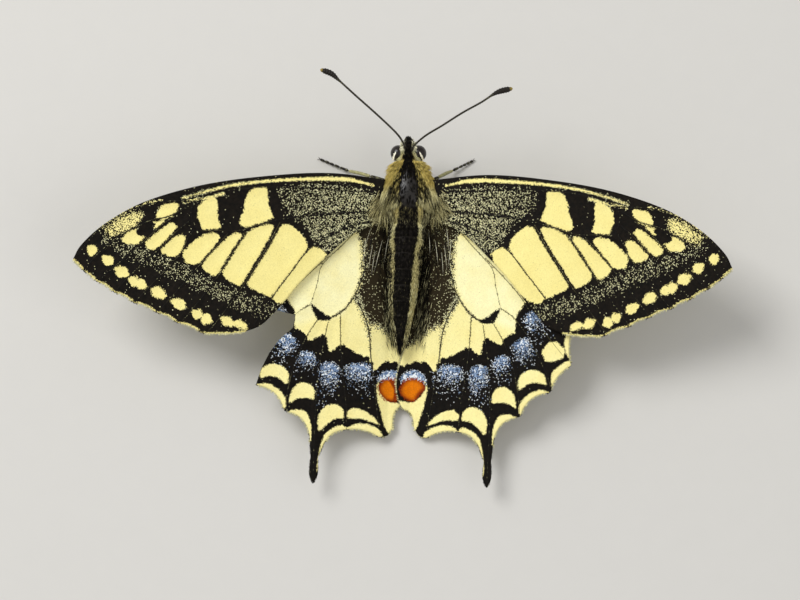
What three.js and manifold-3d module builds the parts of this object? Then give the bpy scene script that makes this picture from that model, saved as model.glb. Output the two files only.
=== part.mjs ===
// Swallowtail butterfly at rest with its wings spread, life size.
// Millimetres. +Z is up, the head looks towards +Y, and the animal's right side is on +X.
// The shapes are laid out from the butterfly's own centre line. At the end the whole animal
// is moved so that the origin lies on the ground under the middle of its bounding box.

import * as THREE from 'three';
import Module from 'manifold-3d';
import { mergeVertices } from 'three/addons/utils/BufferGeometryUtils.js';

const wasm = await Module();
wasm.setup();

// ---------------------------------------------------------------- driving dimensions

const GAP = 0.3;              // left open between neighbouring pieces
const WING_THICKNESS = 0.5;

// The shoulder is where the front edge of the forewing leaves the thorax.
const SHOULDER = { x: 4.2, y: 5.8, z: 8.5 };
const WING_PITCH = 0.2;       // rise of a wing towards its front edge, per mm
const HINDWING_DROP = 0.9;    // hindwings lie this far below the forewings
const DROOP = 0.0012;         // bend of the outer forewing towards the ground
const DROOP_START = 12;
const TAIL_LIFT = 0.006;      // bend of the tails away from the ground
const TAIL_LIFT_START = 20;
const FOLD_DEPTH = 0.5;       // the hindwing dips beside the abdomen
const FOLD_WIDTH = 1.6;
const FOLD_LIMIT = 0.6;
const WING_RISE = { left: 12, right: 13 };          // degrees up from the shoulder
const FOREWING_TURN = { left: 1.0, right: 0.5 };    // degrees, clockwise from above
const HINDWING_TURN = 1.2;
const FOREWING_SIZE = { left: 1.01, right: 0.985 };

// The middle of the bounding box, from the butterfly's centre line.
const MIDDLE = { x: -0.695, y: -7.26 };

const COLOURS = {
  wing: 0xf3eba8,
  body: 0x1d1a14,
  eye: 0x17140f,
  horn: 0x201b14,
};

// ---------------------------------------------------------------- wing outlines
// Points are [outward, forward] from the shoulder. Each wing is a row of columns that run
// from the root to the edge, as its veins do: root, middle and tip.

const FOREWING = {
  frontEdge: [[-1.6, -0.2], [6, 0.1], [14, -0.9], [22, -2.6], [29, -5.1], [33.8, -8], [36.8, -10.8], [37.9, -12.8]],
  columns: [
    { root: [-1.6, -0.9], middle: [22.6, -5.4], tip: [36.5, -14.1] },
    { root: [-1.6, -1.6], middle: [21.8, -6.4], tip: [34.8, -15.3] },
    { root: [-1.6, -2.3], middle: [20.8, -7.3], tip: [32.6, -16.4] },
    { root: [-1.6, -3], middle: [19.4, -8.2], tip: [30.1, -17.5] },
    { root: [-1.6, -3.6], middle: [17.6, -9], tip: [27.3, -18.4] },
    { root: [-1.6, -4.2], middle: [15.6, -9.7], tip: [24.6, -19.4] },
    { root: [-1.6, -4.7], middle: [13, -10.2], tip: [21.5, -20.4] },
  ],
  rearEdge: [[-1.7, -5.2], [2.4, -6.9], [6.1, -10.2], [9.3, -13.6], [11.4, -16], [13.2, -18.1], [15.6, -19.8]],
  scallops: [0.1, 0.15, 0.25, 0.3, 0.3, 0.3, 0.3, 0.1],
  cellSteps: 3,
  lengthSteps: 10,
};

const HINDWING = {
  frontEdge: [[-0.9, -3], [4, -4.8], [9, -8.2], [13.4, -12.6], [16, -16.6], [17.1, -19.6]],
  columns: [
    { root: [-1, -3.4], middle: [11, -13.5], tip: [17.3, -23.5] },
    { root: [-1.1, -3.8], middle: [9.8, -16], tip: [14.7, -26.8] },
    { root: [-1.2, -4.1], middle: [8.2, -18], tip: [10.9, -29.8] },
    { root: [-1.3, -4.4], middle: [6.95, -19.5], tip: [7.55, -32.8] },
    { root: [-1.35, -4.6], middle: [6.75, -19.9], tip: [7.35, -35.4] },
    { root: [-1.4, -4.8], middle: [6.6, -20.1], tip: [7.45, -37.6] },
    { root: [-1.45, -4.95], middle: [6.45, -20.2], tip: [6.9, -38.9] },
    { root: [-1.5, -5.1], middle: [6.3, -20.1], tip: [6.3, -37.6] },
    { root: [-1.5, -5.25], middle: [6.1, -19.9], tip: [6.4, -35.4] },
    { root: [-1.55, -5.4], middle: [5.7, -19.7], tip: [5.7, -33.6] },
    { root: [-1.6, -5.7], middle: [3.9, -19.5], tip: [3, -31.6] },
    { root: [-1.7, -6], middle: [0.9, -19], tip: [-1.3, -32.2] },
    { root: [-1.75, -6.2], middle: [-0.6, -18.6], tip: [-2.3, -31.9] },
  ],
  rearEdge: [
    [-1.8, -6.4], [-1.6, -10.5], [-1.8, -14.5], [-2.3, -18], [-3.2, -21.5],
    [-3.85, -24.5], [-3.9, -28], [-2.9, -30.9],
  ],
  scallops: [0.25, 0.5, 0.9, 0.9, 0, 0, 0, 0, 0, 0, 0.5, 0.45, 0, 0],
  cellSteps: 2,
  lengthSteps: 10,
};

// The left hindwing has lost its outer front corner. This is the outline of what is missing.
const TEAR = [
  [13, -17.2], [9.9, -17.7], [10.2, -19.3], [11.7, -20.7], [13, -22.5], [14, -24.6], [14.65, -26.8],
  [20, -27], [20, -16.5],
];
const TEAR_DEPTH = 12;

// ---------------------------------------------------------------- body sections
// y along the body, then the section's middle, its half width and how far it reaches up
// and down. All of it is measured over the coat. The body lies in a slight curve.

const BODY = [
  { y: 11.2, x: -0.3, z: 8.5, side: 0.12, up: 0.12, down: 0.12 },
  { y: 11.0, x: -0.3, z: 8.5, side: 0.5, up: 0.5, down: 0.6 },
  { y: 10.4, x: -0.28, z: 8.45, side: 1.1, up: 1.1, down: 1.4 },
  { y: 9.5, x: -0.25, z: 8.3, side: 1.5, up: 1.5, down: 1.8 },
  { y: 8.6, x: -0.22, z: 8.05, side: 1.65, up: 1.6, down: 1.8 },
  { y: 7.9, x: -0.2, z: 7.8, side: 2.0, up: 1.8, down: 1.9 },
  { y: 6.8, x: -0.15, z: 7.4, side: 2.8, up: 2.3, down: 2.5 },
  { y: 5.2, x: -0.1, z: 7.05, side: 3.4, up: 2.7, down: 2.9 },
  { y: 3.2, x: -0.1, z: 6.8, side: 3.7, up: 2.8, down: 2.9 },
  { y: 1.4, x: -0.15, z: 6.5, side: 3.2, up: 2.5, down: 2.6 },
  { y: 0.2, x: -0.25, z: 6.25, side: 2.6, up: 2.1, down: 2.2 },
  { y: -1.5, x: -0.4, z: 5.95, side: 2.35, up: 2.0, down: 2.1 },
  { y: -4.5, x: -0.6, z: 5.5, side: 2.25, up: 2.0, down: 2.2 },
  { y: -8.0, x: -0.8, z: 4.9, side: 1.95, up: 1.8, down: 2.0 },
  { y: -11.5, x: -0.95, z: 4.3, side: 1.5, up: 1.45, down: 1.55 },
  { y: -14.0, x: -1.05, z: 3.85, side: 0.98, up: 1.0, down: 1.05 },
  { y: -15.3, x: -1.1, z: 3.62, side: 0.5, up: 0.55, down: 0.55 },
  { y: -15.9, x: -1.1, z: 3.55, side: 0.12, up: 0.12, down: 0.12 },
];
const NECK_Y = 8.1;
const WAIST_Y = 0.1;

const HEAD_X = -0.27;         // the head's own middle
const EYE = { x: 1.28, y: 9.35, z: 8.25, radius: 0.97 };
const PALP = { x: 0.42, rootY: 10.3, rootZ: 7.35, tipY: 11.35, tipZ: 8.05, radius: 0.3 };
const PROBOSCIS = { y: 9.75, z: 5.55, coil: 0.62, tube: 0.27 };

const ANTENNA_RADIUS = 0.25;
const CLUB_RADIUS = 0.5;
const ANTENNA = {
  left: [
    [-0.9, 9.9, 10.1], [-1.5, 10.75, 10.5], [-2.45, 11.65, 10.9], [-4.3, 13.35, 11.5],
    [-6.95, 15.5, 12.5], [-9.05, 17.25, 13.3], [-10, 18, 13.6], [-11.35, 18.4, 14],
  ],
  right: [
    [0.4, 9.9, 10.1], [1.3, 10.45, 10.4], [2.7, 11.2, 10.8], [4.1, 11.9, 11.3],
    [6.65, 13.35, 12.1], [9.05, 14.5, 12.9], [11, 15.6, 13.5], [13, 16, 14],
  ],
};

// Each leg runs hip, knee, ankle, toe. The foot lies along the ground.
const FOOT_RADIUS = 0.3;
const LEG_RADIUS = { hip: 0.45, knee: 0.42, ankle: 0.32 };
const LEGS = {
  leg_fore_left: [[-1.5, 5.8, 3.9], [-5.4, 7.4, 3.3], [-8.4, 8.9, 0.5], [-12.2, 10.6, 0]],
  leg_fore_right: [[1.5, 5.8, 3.9], [3.4, 7.3, 3.3], [5.1, 9, 0.5], [7.7, 10.5, 0]],
  leg_mid_left: [[-1.9, 3.6, 3.9], [-6.2, 3.1, 4.2], [-8.8, 1.6, 0.5], [-12, 0.3, 0]],
  leg_mid_right: [[1.9, 3.6, 3.9], [6.2, 3.1, 4.2], [8.8, 1.6, 0.5], [12, 0.3, 0]],
  leg_hind_left: [[-1.5, 1.5, 3.8], [-4.6, -3.2, 3.6], [-6.4, -8.2, 0.5], [-7.6, -12.4, 0]],
  leg_hind_right: [[1.5, 1.5, 3.8], [4.6, -3.2, 3.6], [6.4, -8.2, 0.5], [7.6, -12.4, 0]],
};

// ---------------------------------------------------------------- helpers

const butterfly = new THREE.Group();

function addPiece(name, geometry, colour, roughness) {
  const material = new THREE.MeshStandardMaterial({ color: colour, roughness, metalness: 0 });
  const mesh = new THREE.Mesh(geometry, material);
  mesh.name = name;
  butterfly.add(mesh);
}

function movePoints(geometry, move) {
  const place = geometry.attributes.position;
  const point = new THREE.Vector3();
  for (let i = 0; i < place.count; i += 1) {
    point.fromBufferAttribute(place, i);
    move(point);
    place.setXYZ(i, point.x, point.y, point.z);
  }
  geometry.computeVertexNormals();
  return geometry;
}

function flipFaces(geometry) {
  const index = geometry.index.array;
  for (let i = 0; i < index.length; i += 3) {
    const kept = index[i];
    index[i] = index[i + 1];
    index[i + 1] = kept;
  }
  return geometry;
}

function asSolid(geometry) {
  const bare = geometry.clone();
  bare.deleteAttribute('normal');
  bare.deleteAttribute('uv');
  const merged = mergeVertices(bare, 1e-4);
  const mesh = new wasm.Mesh({
    numProp: 3,
    vertProperties: new Float32Array(merged.attributes.position.array),
    triVerts: new Uint32Array(merged.index.array),
  });
  return new wasm.Manifold(mesh);
}

function asGeometry(solid) {
  const mesh = solid.getMesh();
  const geometry = new THREE.BufferGeometry();
  geometry.setAttribute('position', new THREE.BufferAttribute(mesh.vertProperties, 3));
  geometry.setIndex(new THREE.BufferAttribute(mesh.triVerts, 1));
  return geometry;
}

// A smooth curve of numbers through one field of the body sections.
function bodyAt(y, field) {
  const above = BODY.findLastIndex((section) => section.y >= y);
  const first = THREE.MathUtils.clamp(above, 0, BODY.length - 2);
  const from = BODY[first];
  const to = BODY[first + 1];
  const along = (from.y - y) / (from.y - to.y);
  const before = BODY[Math.max(first - 1, 0)][field];
  const after = BODY[Math.min(first + 2, BODY.length - 1)][field];
  const a = from[field];
  const b = to[field];
  const startSlope = (b - before) / 2;
  const endSlope = (after - a) / 2;
  const turn = 3 * (b - a) - 2 * startSlope - endSlope;
  const lift = 2 * (a - b) + startSlope + endSlope;
  return a + along * (startSlope + along * (turn + along * lift));
}

// One length of the body with flat ends, made larger all round by grow.
function bodyLength(fromY, toY, steps, sides, grow = 0) {
  const geometry = new THREE.CylinderGeometry(1, 1, 1, sides, steps);
  return movePoints(geometry, (point) => {
    const y = THREE.MathUtils.lerp(toY, fromY, point.y + 0.5);
    const side = bodyAt(y, 'x') + point.x * (bodyAt(y, 'side') + grow);
    const reach = point.z > 0 ? bodyAt(y, 'up') : bodyAt(y, 'down');
    const height = bodyAt(y, 'z') + point.z * (reach + grow);
    point.set(side, y, height);
  });
}

// A round bar along a curve, its radius given along the way.
function bar(points, radiusAt, steps, sides) {
  const curve = new THREE.CatmullRomCurve3(points.map((p) => new THREE.Vector3(...p)));
  const frames = curve.computeFrenetFrames(steps, false);
  const geometry = new THREE.CylinderGeometry(1, 1, 1, sides, steps);
  const centre = new THREE.Vector3();
  return movePoints(geometry, (point) => {
    const step = Math.round((0.5 - point.y) * steps);
    const along = step / steps;
    const radius = radiusAt(along);
    curve.getPointAt(along, centre);
    const across = point.x * radius;
    const upward = point.z * radius;
    point.copy(centre);
    point.addScaledVector(frames.normals[step], across);
    point.addScaledVector(frames.binormals[step], upward);
  });
}

// What joins the body stops short of it, all round.
const bodyRoom = asSolid(bodyLength(11.2, -15.9, 40, 24, GAP));

function clearOfBody(geometry) {
  return asGeometry(asSolid(geometry).subtract(bodyRoom));
}

// ---------------------------------------------------------------- wings

function flatCurve(points) {
  return new THREE.SplineCurve(points.map(([x, y]) => new THREE.Vector2(x, y)));
}

function columnPoint(column, along) {
  const root = new THREE.Vector2(...column.root);
  const middle = new THREE.Vector2(...column.middle);
  const tip = new THREE.Vector2(...column.tip);
  return along < 0.5 ? root.lerp(middle, 2 * along) : middle.lerp(tip, 2 * along - 1);
}

function wingGrid(wing) {
  const front = flatCurve(wing.frontEdge);
  const rear = flatCurve(wing.rearEdge);
  const edges = [
    (along) => front.getPointAt(along),
    ...wing.columns.map((column) => (along) => columnPoint(column, along)),
    (along) => rear.getPointAt(along),
  ];
  const stations = [];
  wing.scallops.forEach((bow, cell) => {
    const steps = bow > 0 ? wing.cellSteps : 1;
    for (let step = 0; step < steps; step += 1) stations.push({ cell, part: step / steps });
  });
  stations.push({ cell: wing.scallops.length - 1, part: 1 });
  return {
    stations,
    pointAt({ cell, part }, along) {
      const point = edges[cell](along).lerp(edges[cell + 1](along), part);
      const towardsRoot = edges[cell](0.8).sub(edges[cell](1)).normalize();
      const bow = 4 * part * (1 - part) * wing.scallops[cell] * along ** 6;
      return point.addScaledVector(towardsRoot, bow);
    },
  };
}

function wingHeight(outward, forward, rise, isHind) {
  const droop = isHind ? 0 : DROOP * Math.max(0, outward - DROOP_START) ** 2;
  const lift = TAIL_LIFT * Math.max(0, -forward - TAIL_LIFT_START) ** 2;
  const fold = isHind ? FOLD_DEPTH * Math.exp(-(outward + 1.3) / FOLD_WIDTH) : 0;
  const slope = Math.tan(rise) * outward * Math.cos(rise);
  const drop = isHind ? HINDWING_DROP : 0;
  return SHOULDER.z + slope + WING_PITCH * forward + lift - droop - Math.min(fold, FOLD_LIMIT) - drop;
}

// Where a point of the flat outline comes to lie, seen from above.
function wingPlace(flat, side, turnDegrees) {
  const sign = side === 'left' ? -1 : 1;
  const rise = THREE.MathUtils.degToRad(WING_RISE[side]);
  const turned = flat.rotateAround(new THREE.Vector2(), THREE.MathUtils.degToRad(turnDegrees));
  return {
    outward: turned.x,
    forward: turned.y,
    x: sign * (SHOULDER.x + turned.x * Math.cos(rise)),
    y: SHOULDER.y + turned.y,
  };
}

function wingPiece(wing, side, turnDegrees, size, isHind) {
  const rise = THREE.MathUtils.degToRad(WING_RISE[side]);
  const grid = wingGrid(wing);
  const width = grid.stations.length - 1;
  const geometry = new THREE.BoxGeometry(1, 1, WING_THICKNESS, width, wing.lengthSteps, 1);
  movePoints(geometry, (point) => {
    const layer = point.z;
    const station = Math.round((point.x + 0.5) * width);
    const flat = grid.pointAt(grid.stations[station], point.y + 0.5).multiplyScalar(size);
    const place = wingPlace(flat, side, turnDegrees);
    const height = wingHeight(place.outward, place.forward, rise, isHind) + layer;
    point.set(place.x, place.y, height);
  });
  return clearOfBody(side === 'left' ? flipFaces(geometry) : geometry);
}

// The missing corner as an upright block, to be cut from the left hindwing.
function tornCorner(turnDegrees) {
  const shape = new THREE.Shape(TEAR.map(([outward, forward]) => {
    const place = wingPlace(new THREE.Vector2(outward, forward), 'left', turnDegrees);
    return new THREE.Vector2(place.x, place.y);
  }));
  return new THREE.ExtrudeGeometry(shape, { depth: TEAR_DEPTH, bevelEnabled: false });
}

for (const side of ['left', 'right']) {
  const sign = side === 'left' ? -1 : 1;
  const foreTurn = -sign * FOREWING_TURN[side];
  const hindTurn = -sign * HINDWING_TURN;
  const fore = wingPiece(FOREWING, side, foreTurn, FOREWING_SIZE[side], false);
  let hind = wingPiece(HINDWING, side, hindTurn, 1, true);
  if (side === 'left') {
    hind = asGeometry(asSolid(hind).subtract(asSolid(tornCorner(hindTurn))));
  }
  addPiece(`wing_fore_${side}`, fore, COLOURS.wing, 0.6);
  addPiece(`wing_hind_${side}`, hind, COLOURS.wing, 0.6);
}

// ---------------------------------------------------------------- body

addPiece('thorax', bodyLength(NECK_Y - GAP, WAIST_Y + GAP, 12, 20), COLOURS.body, 0.9);
addPiece('abdomen', bodyLength(WAIST_Y, -15.9, 16, 18), COLOURS.body, 0.9);

function eyeBall(side, radius) {
  const ball = new THREE.SphereGeometry(radius, 14, 9);
  ball.rotateZ(Math.PI / 2);
  ball.translate(HEAD_X + side * EYE.x, EYE.y, EYE.z);
  return ball;
}

let head = asSolid(bodyLength(11.2, NECK_Y, 12, 20));
for (const side of [-1, 1]) {
  head = head.subtract(asSolid(eyeBall(side, EYE.radius + GAP / 2)));
}
addPiece('head', asGeometry(head), COLOURS.body, 0.9);
addPiece('eye_left', eyeBall(-1, EYE.radius), COLOURS.eye, 0.15);
addPiece('eye_right', eyeBall(1, EYE.radius), COLOURS.eye, 0.15);

// ---------------------------------------------------------------- feelers, palps and tongue

function antennaRadius(along) {
  const club = THREE.MathUtils.smoothstep(along, 0.8, 0.93);
  const end = 1 - THREE.MathUtils.smoothstep(along, 0.95, 1) * 0.45;
  return (ANTENNA_RADIUS + (CLUB_RADIUS - ANTENNA_RADIUS) * club) * end;
}

function palpRadius(along) {
  return PALP.radius * (1 - 0.3 * along);
}

for (const [name, sign] of [['left', -1], ['right', 1]]) {
  addPiece(`antenna_${name}`, bar(ANTENNA[name], antennaRadius, 22, 7), COLOURS.horn, 0.6);
  const palp = [
    [HEAD_X + sign * PALP.x, PALP.rootY, PALP.rootZ - 0.5],
    [HEAD_X + sign * PALP.x, PALP.rootY + 0.6, PALP.rootZ - 0.2],
    [HEAD_X + sign * PALP.x, PALP.tipY, PALP.tipZ - 0.4],
  ];
  addPiece(`palp_${name}`, bar(palp, palpRadius, 4, 7), COLOURS.body, 0.9);
}

// The tongue is a small watch spring under the face, modelled as its rolled ring.
const ring = new THREE.TorusGeometry(PROBOSCIS.coil, PROBOSCIS.tube, 6, 14);
ring.rotateY(Math.PI / 2);
ring.translate(HEAD_X, PROBOSCIS.y, PROBOSCIS.z);
addPiece('proboscis', ring, COLOURS.horn, 0.5);

// ---------------------------------------------------------------- legs

function legRadius(along) {
  if (along < 0.35) return THREE.MathUtils.lerp(LEG_RADIUS.hip, LEG_RADIUS.knee, along / 0.35);
  if (along < 0.7) {
    return THREE.MathUtils.lerp(LEG_RADIUS.knee, LEG_RADIUS.ankle, (along - 0.35) / 0.35);
  }
  return THREE.MathUtils.lerp(LEG_RADIUS.ankle, FOOT_RADIUS, (along - 0.7) / 0.3);
}

// The underside is cut level with the ground, so each foot stands on a small flat.
function leg(points) {
  const raised = points.map(([x, y, z]) => [x, y, z + FOOT_RADIUS * 0.85]);
  const shape = movePoints(bar(raised, legRadius, 15, 7), (point) => {
    point.z = Math.max(0, point.z);
  });
  return clearOfBody(shape);
}

for (const [name, points] of Object.entries(LEGS)) {
  addPiece(name, leg(points), COLOURS.horn, 0.6);
}

butterfly.position.set(-MIDDLE.x, -MIDDLE.y, 0);

export default butterfly;
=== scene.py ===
"""Looks of a swallowtail butterfly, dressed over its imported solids."""

import math
from types import SimpleNamespace

import bmesh
import bpy
import numpy as np
from mathutils import Color, Matrix, Vector


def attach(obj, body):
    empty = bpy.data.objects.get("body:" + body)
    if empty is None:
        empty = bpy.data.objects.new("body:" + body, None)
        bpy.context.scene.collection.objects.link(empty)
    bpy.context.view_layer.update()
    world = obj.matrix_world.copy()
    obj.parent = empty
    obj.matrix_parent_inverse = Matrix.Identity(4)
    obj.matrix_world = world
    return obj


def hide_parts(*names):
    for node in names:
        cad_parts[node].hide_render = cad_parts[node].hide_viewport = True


bl_info = {
    "name": "Swallowtail butterfly",
    "version": (1, 0, 0),
    "blender": (4, 5, 0),
    "location": "View3D > Sidebar > Butterfly",
    "description": "Dresses the solids of a swallowtail butterfly with scales, hair and veins",
    "category": "Object",
}

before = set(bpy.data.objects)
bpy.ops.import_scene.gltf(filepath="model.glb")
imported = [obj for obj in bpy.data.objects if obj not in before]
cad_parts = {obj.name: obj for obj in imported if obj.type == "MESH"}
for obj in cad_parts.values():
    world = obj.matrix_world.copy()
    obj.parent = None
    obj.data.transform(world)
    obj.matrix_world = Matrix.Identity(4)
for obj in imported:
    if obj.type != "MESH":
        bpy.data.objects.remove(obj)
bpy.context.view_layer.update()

MM = 0.001
ORIGIN = np.array([0.695, 7.26, 0.0])   # the frame's origin, from the butterfly's centre line, mm

# ------------------------------------------------------------------ wing pose
# Flat wing coordinates are mm outward and forward from the shoulder.

SHOULDER = (4.2, 5.8, 8.5)
WING_PITCH = 0.2            # rise of a wing towards its front edge, per mm
HINDWING_DROP = 0.9         # how far the hindwing lies under the forewing
ROOT_DROP_SHARE = 0.38      # the share of that drop which is left at the wing's root
ROOT_FORWARD = (-8.5, -4.5)     # where the root begins and is complete, forward
ROOT_OUTWARD = (6.5, 0.5)       # and outward
DROOP = 0.0012              # sag of the forewing, per mm squared beyond DROOP_START
DROOP_START = 12.0
TAIL_LIFT = 0.006           # rise of the tails, per mm squared beyond TAIL_LIFT_START
TAIL_LIFT_START = 20.0
FOLD_DEPTH = 0.5            # the inner margin's fall towards the abdomen
FOLD_WIDTH = 1.6
FOLD_START = -1.3
FOLD_LIMIT = 0.6
LAP_STEP = 0.12             # the right inner margin's rise where it laps over the left one
LAP_OUTWARD = (-3.2, -4.0)
LAP_SLOPE = 0.55            # and its slope beyond LAP_SLOPE_START
LAP_SLOPE_START = -4.1
RIB_HEIGHT = 0.11           # how far the membrane rises to a rib
RIB_REACH = 0.6             # and from how far away
SINK = 0.05                 # how far the membrane between the ribs lies lower
SIDES = ("left", "right")
PAIRS = ("fore", "hind")
WINGS = [(pair, side) for pair in PAIRS for side in SIDES]
SIGN = {"left": -1.0, "right": 1.0}
RISE = {"left": math.radians(12), "right": math.radians(13)}
TURN = {
    ("fore", "left"): math.radians(1.0),
    ("fore", "right"): math.radians(-0.5),
    ("hind", "left"): math.radians(1.2),
    ("hind", "right"): math.radians(-1.2),
}
SIZE = {
    ("fore", "left"): 1.01,
    ("fore", "right"): 0.985,
    ("hind", "left"): 1.0,
    ("hind", "right"): 1.0,
}

# ------------------------------------------------------------------ wing outlines

FORE_FRONT = [(-1.6, -0.2), (6, 0.1), (14, -0.9), (22, -2.6), (29, -5.1), (33.8, -8),
              (36.8, -10.8), (37.9, -12.8)]
FORE_MARGIN = [(37.9, -12.8), (36.5, -14.1), (34.8, -15.3), (32.6, -16.5), (30.1, -17.6),
               (27.3, -18.6), (24.6, -19.7), (21.6, -20.7), (16.1, -20.2)]
FORE_SCALLOPS = [0.1, 0.15, 0.25, 0.3, 0.3, 0.3, 0.3, -0.15]
FORE_REAR = [(16.1, -20.2), (14.2, -19.3), (12.5, -17.6), (11.0, -15.8), (9.3, -13.6),
             (6.1, -10.2), (2.4, -6.9), (-1.7, -5.2)]
HIND_FRONT = [(-1.9, -3.1), (4, -4.8), (9, -8.2), (13.4, -12.6), (16, -16.6), (17.1, -19.6)]
HIND_MARGIN = [(17.1, -19.6), (17.3, -23.5), (14.7, -26.8), (10.9, -29.8), (7.55, -32.8),
               (7.35, -35.4), (7.45, -37.6), (6.9, -38.9), (6.3, -37.6), (6.4, -35.4),
               (5.7, -33.6), (3, -31.6), (-1.3, -32.2), (-2.3, -31.9), (-2.9, -30.9)]
HIND_SCALLOPS = [0.25, 0.5, 0.9, 0.9, 0, 0, 0, 0, 0, 0, 0.5, 0.45, 0, 0]
HIND_REAR = {   # the soft inner margins, which lie against the abdomen and meet behind it
    "left": [(-2.9, -30.9), (-2.95, -29.4), (-3.3, -28.5), (-3.9, -27.6), (-3.95, -24.5),
             (-3.5, -21.5), (-2.9, -18), (-2.6, -14.5), (-2.6, -10.5), (-2.7, -8.2), (-2.7, -6.1)],
    "right": [(-2.9, -30.9), (-3.15, -29.5), (-3.7, -28.8), (-4.6, -28.3), (-5.25, -26.4),
              (-5.3, -24.5), (-4.6, -21.5), (-3.7, -18), (-3.3, -14.5), (-3.1, -10.5),
              (-3.0, -8.2), (-2.8, -6.1)],
}
TEAR = [(13, -17.2), (9.9, -17.7), (10.2, -19.3), (11.7, -20.7), (13, -22.5), (14, -24.6),
        (14.65, -26.8), (20, -27), (20, -16.5)]     # the front corner that the left hindwing lost
MARGINS = {"fore": (FORE_MARGIN, FORE_SCALLOPS), "hind": (HIND_MARGIN, HIND_SCALLOPS)}

# ------------------------------------------------------------------ forewing markings

FORE_PATCHES = {
    "cell bar": [(13.8, -2.3), (15.1, -2.4), (16.0, -2.85), (16.5, -3.9), (16.7, -5.2),
                 (17.3, -6.75), (16.9, -7.45), (15.7, -7.25), (12.9, -6.0), (13.3, -5.2),
                 (13.7, -4.0)],
    "cell end bar": [(20.1, -3.9), (21.3, -4.2), (22.3, -5.0), (22.65, -6.3), (22.1, -7.6),
                     (21.7, -8.25), (19.4, -7.75), (19.95, -7.0), (20.05, -5.5), (20.0, -4.8)],
    "front spot": [(24.8, -5.1), (26.0, -5.1), (27.1, -5.6), (27.4, -6.1), (27.75, -7.0),
                   (27.1, -7.3), (25.7, -6.75), (25.1, -6.0)],
    "small wedge": [(26.5, -7.3), (28.0, -7.5), (27.65, -7.9), (28.1, -8.5), (27.4, -8.15)],
    "R4": [(28.8, -9.4), (29.5, -9.45), (30.0, -9.1), (30.1, -8.5), (31.5, -9.25), (31.95, -10.0),
           (31.2, -10.45), (29.9, -10.45)],
    "R5": [(25.0, -8.0), (25.5, -7.5), (26.2, -7.65), (28.85, -10.0), (28.95, -10.65),
           (28.6, -10.95), (27.6, -10.85), (26.3, -9.6)],
    "M1": [(23.9, -9.2), (24.6, -8.8), (25.3, -9.2), (26.95, -10.8), (26.9, -11.25), (26.0, -11.65),
           (25.1, -11.65), (24.5, -11.0)],
    "M2": [(19.65, -8.8), (20.1, -8.35), (21.35, -8.5), (22.5, -9.15), (24.25, -10.85),
           (24.3, -11.6), (24.0, -12.4), (22.3, -12.3), (21.2, -11.0)],
    "M3": [(16.85, -8.5), (17.4, -8.05), (18.55, -8.6), (20.25, -10.25), (22.25, -12.45),
           (21.3, -13.35), (20.3, -13.65), (19.4, -12.6)],
    "CuA1": [(12.75, -7.0), (13.5, -6.8), (14.9, -7.2), (16.7, -8.15), (17.8, -9.8),
             (19.65, -13.05), (18.95, -14.05), (17.3, -14.7), (16.6, -14.2)],
    "CuA2": [(8.55, -9.4), (9.1, -8.05), (10.3, -6.95), (11.6, -6.55), (12.4, -7.3),
             (16.7, -14.1), (15.9, -14.85), (14.3, -15.5), (13.3, -15.8)],
    "2A": [(6.1, -9.95), (7.6, -9.1), (8.6, -9.4), (13.4, -15.7), (12.8, -16.35), (11.8, -16.3),
           (10.9, -15.9), (8.8, -14.2)],
}
SPOT_SLANT, SPOT_POWER, SPOT_SIZE = math.radians(22), 1.55, 1.06
FORE_SPOTS = [  # middle, length along the margin, width
    (35.5, -11.5, 1.25, 1.35), (33.5, -12.6, 1.55, 1.3), (31.7, -13.9, 1.75, 1.4),
    (29.3, -15.25, 1.3, 1.25), (30.2, -14.95, 1.3, 1.25), (27.2, -16.15, 1.95, 1.35),
    (24.8, -17.35, 1.85, 1.3), (21.5, -19.0, 1.35, 1.35), (22.6, -18.45, 1.35, 1.25),
    (17.3, -19.35, 1.7, 0.95), (18.9, -19.1, 1.8, 1.15),
]
FORE_VEINS = {  # path, half width of its black line where it crosses yellow
    "cell upper": ([(0, -1.9), (6, -1.9), (12, -2.1), (18, -2.9), (21, -3.8), (23, -4.7)], 0.05),
    "cell lower": ([(0.2, -4.3), (6, -4.9), (11.3, -5.9), (14.5, -6.9), (17.5, -7.9), (20, -8.05),
                    (22.5, -8.3)], 0.16),
    "cell end": ([(23, -4.7), (23.3, -5.8), (23.2, -6.8), (22.5, -8.3)], 0.1),
    "R3": ([(23, -4.7), (27, -5.0), (31, -6.3), (34.5, -8.6), (37.6, -12.6)], 0.08),
    "R4": ([(23.4, -5.2), (26, -6.7), (28.4, -7.4), (30, -8.3), (32.2, -9.6), (34.8, -11.9),
            (36.5, -14.1)], 0.08),
    "R5": ([(25, -6.4), (26.9, -7.8), (29.1, -10), (32.6, -13.3), (34.8, -15.3)], 0.1),
    "M1": ([(23.2, -6.8), (25.5, -8.9), (27.2, -10.8), (30.9, -14.5), (32.6, -16.5)], 0.1),
    "M2": ([(22.8, -7.9), (23.9, -9.6), (24.7, -11.3), (28.4, -15.6), (30.1, -17.6)], 0.1),
    "M3": ([(18.5, -8), (19.1, -8.75), (20.45, -10.25), (22.25, -12.4), (26, -17), (27.3, -18.6)],
           0.16),
    "CuA1": ([(16.3, -7.75), (17.75, -9.95), (19.45, -12.65), (20.1, -13.7), (23.4, -18.2),
              (24.6, -19.7)], 0.19),
    "CuA2": ([(12, -6.2), (13.9, -9.7), (15.4, -12.1), (16.8, -14.4), (20.3, -19.2), (21.6, -20.7)],
             0.27),
    "2A": ([(0.3, -5.4), (4, -6.6), (8.3, -9.3), (10.8, -12.4), (13.2, -15.6), (15.9, -19.6)],
           0.07),
}
COSTAL_LINE = [(0.4, -1.0), (3.5, -0.55), (7, -0.7), (12, -1.25), (17, -2.1), (21, -3.2),
               (24.4, -4.4)]
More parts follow.
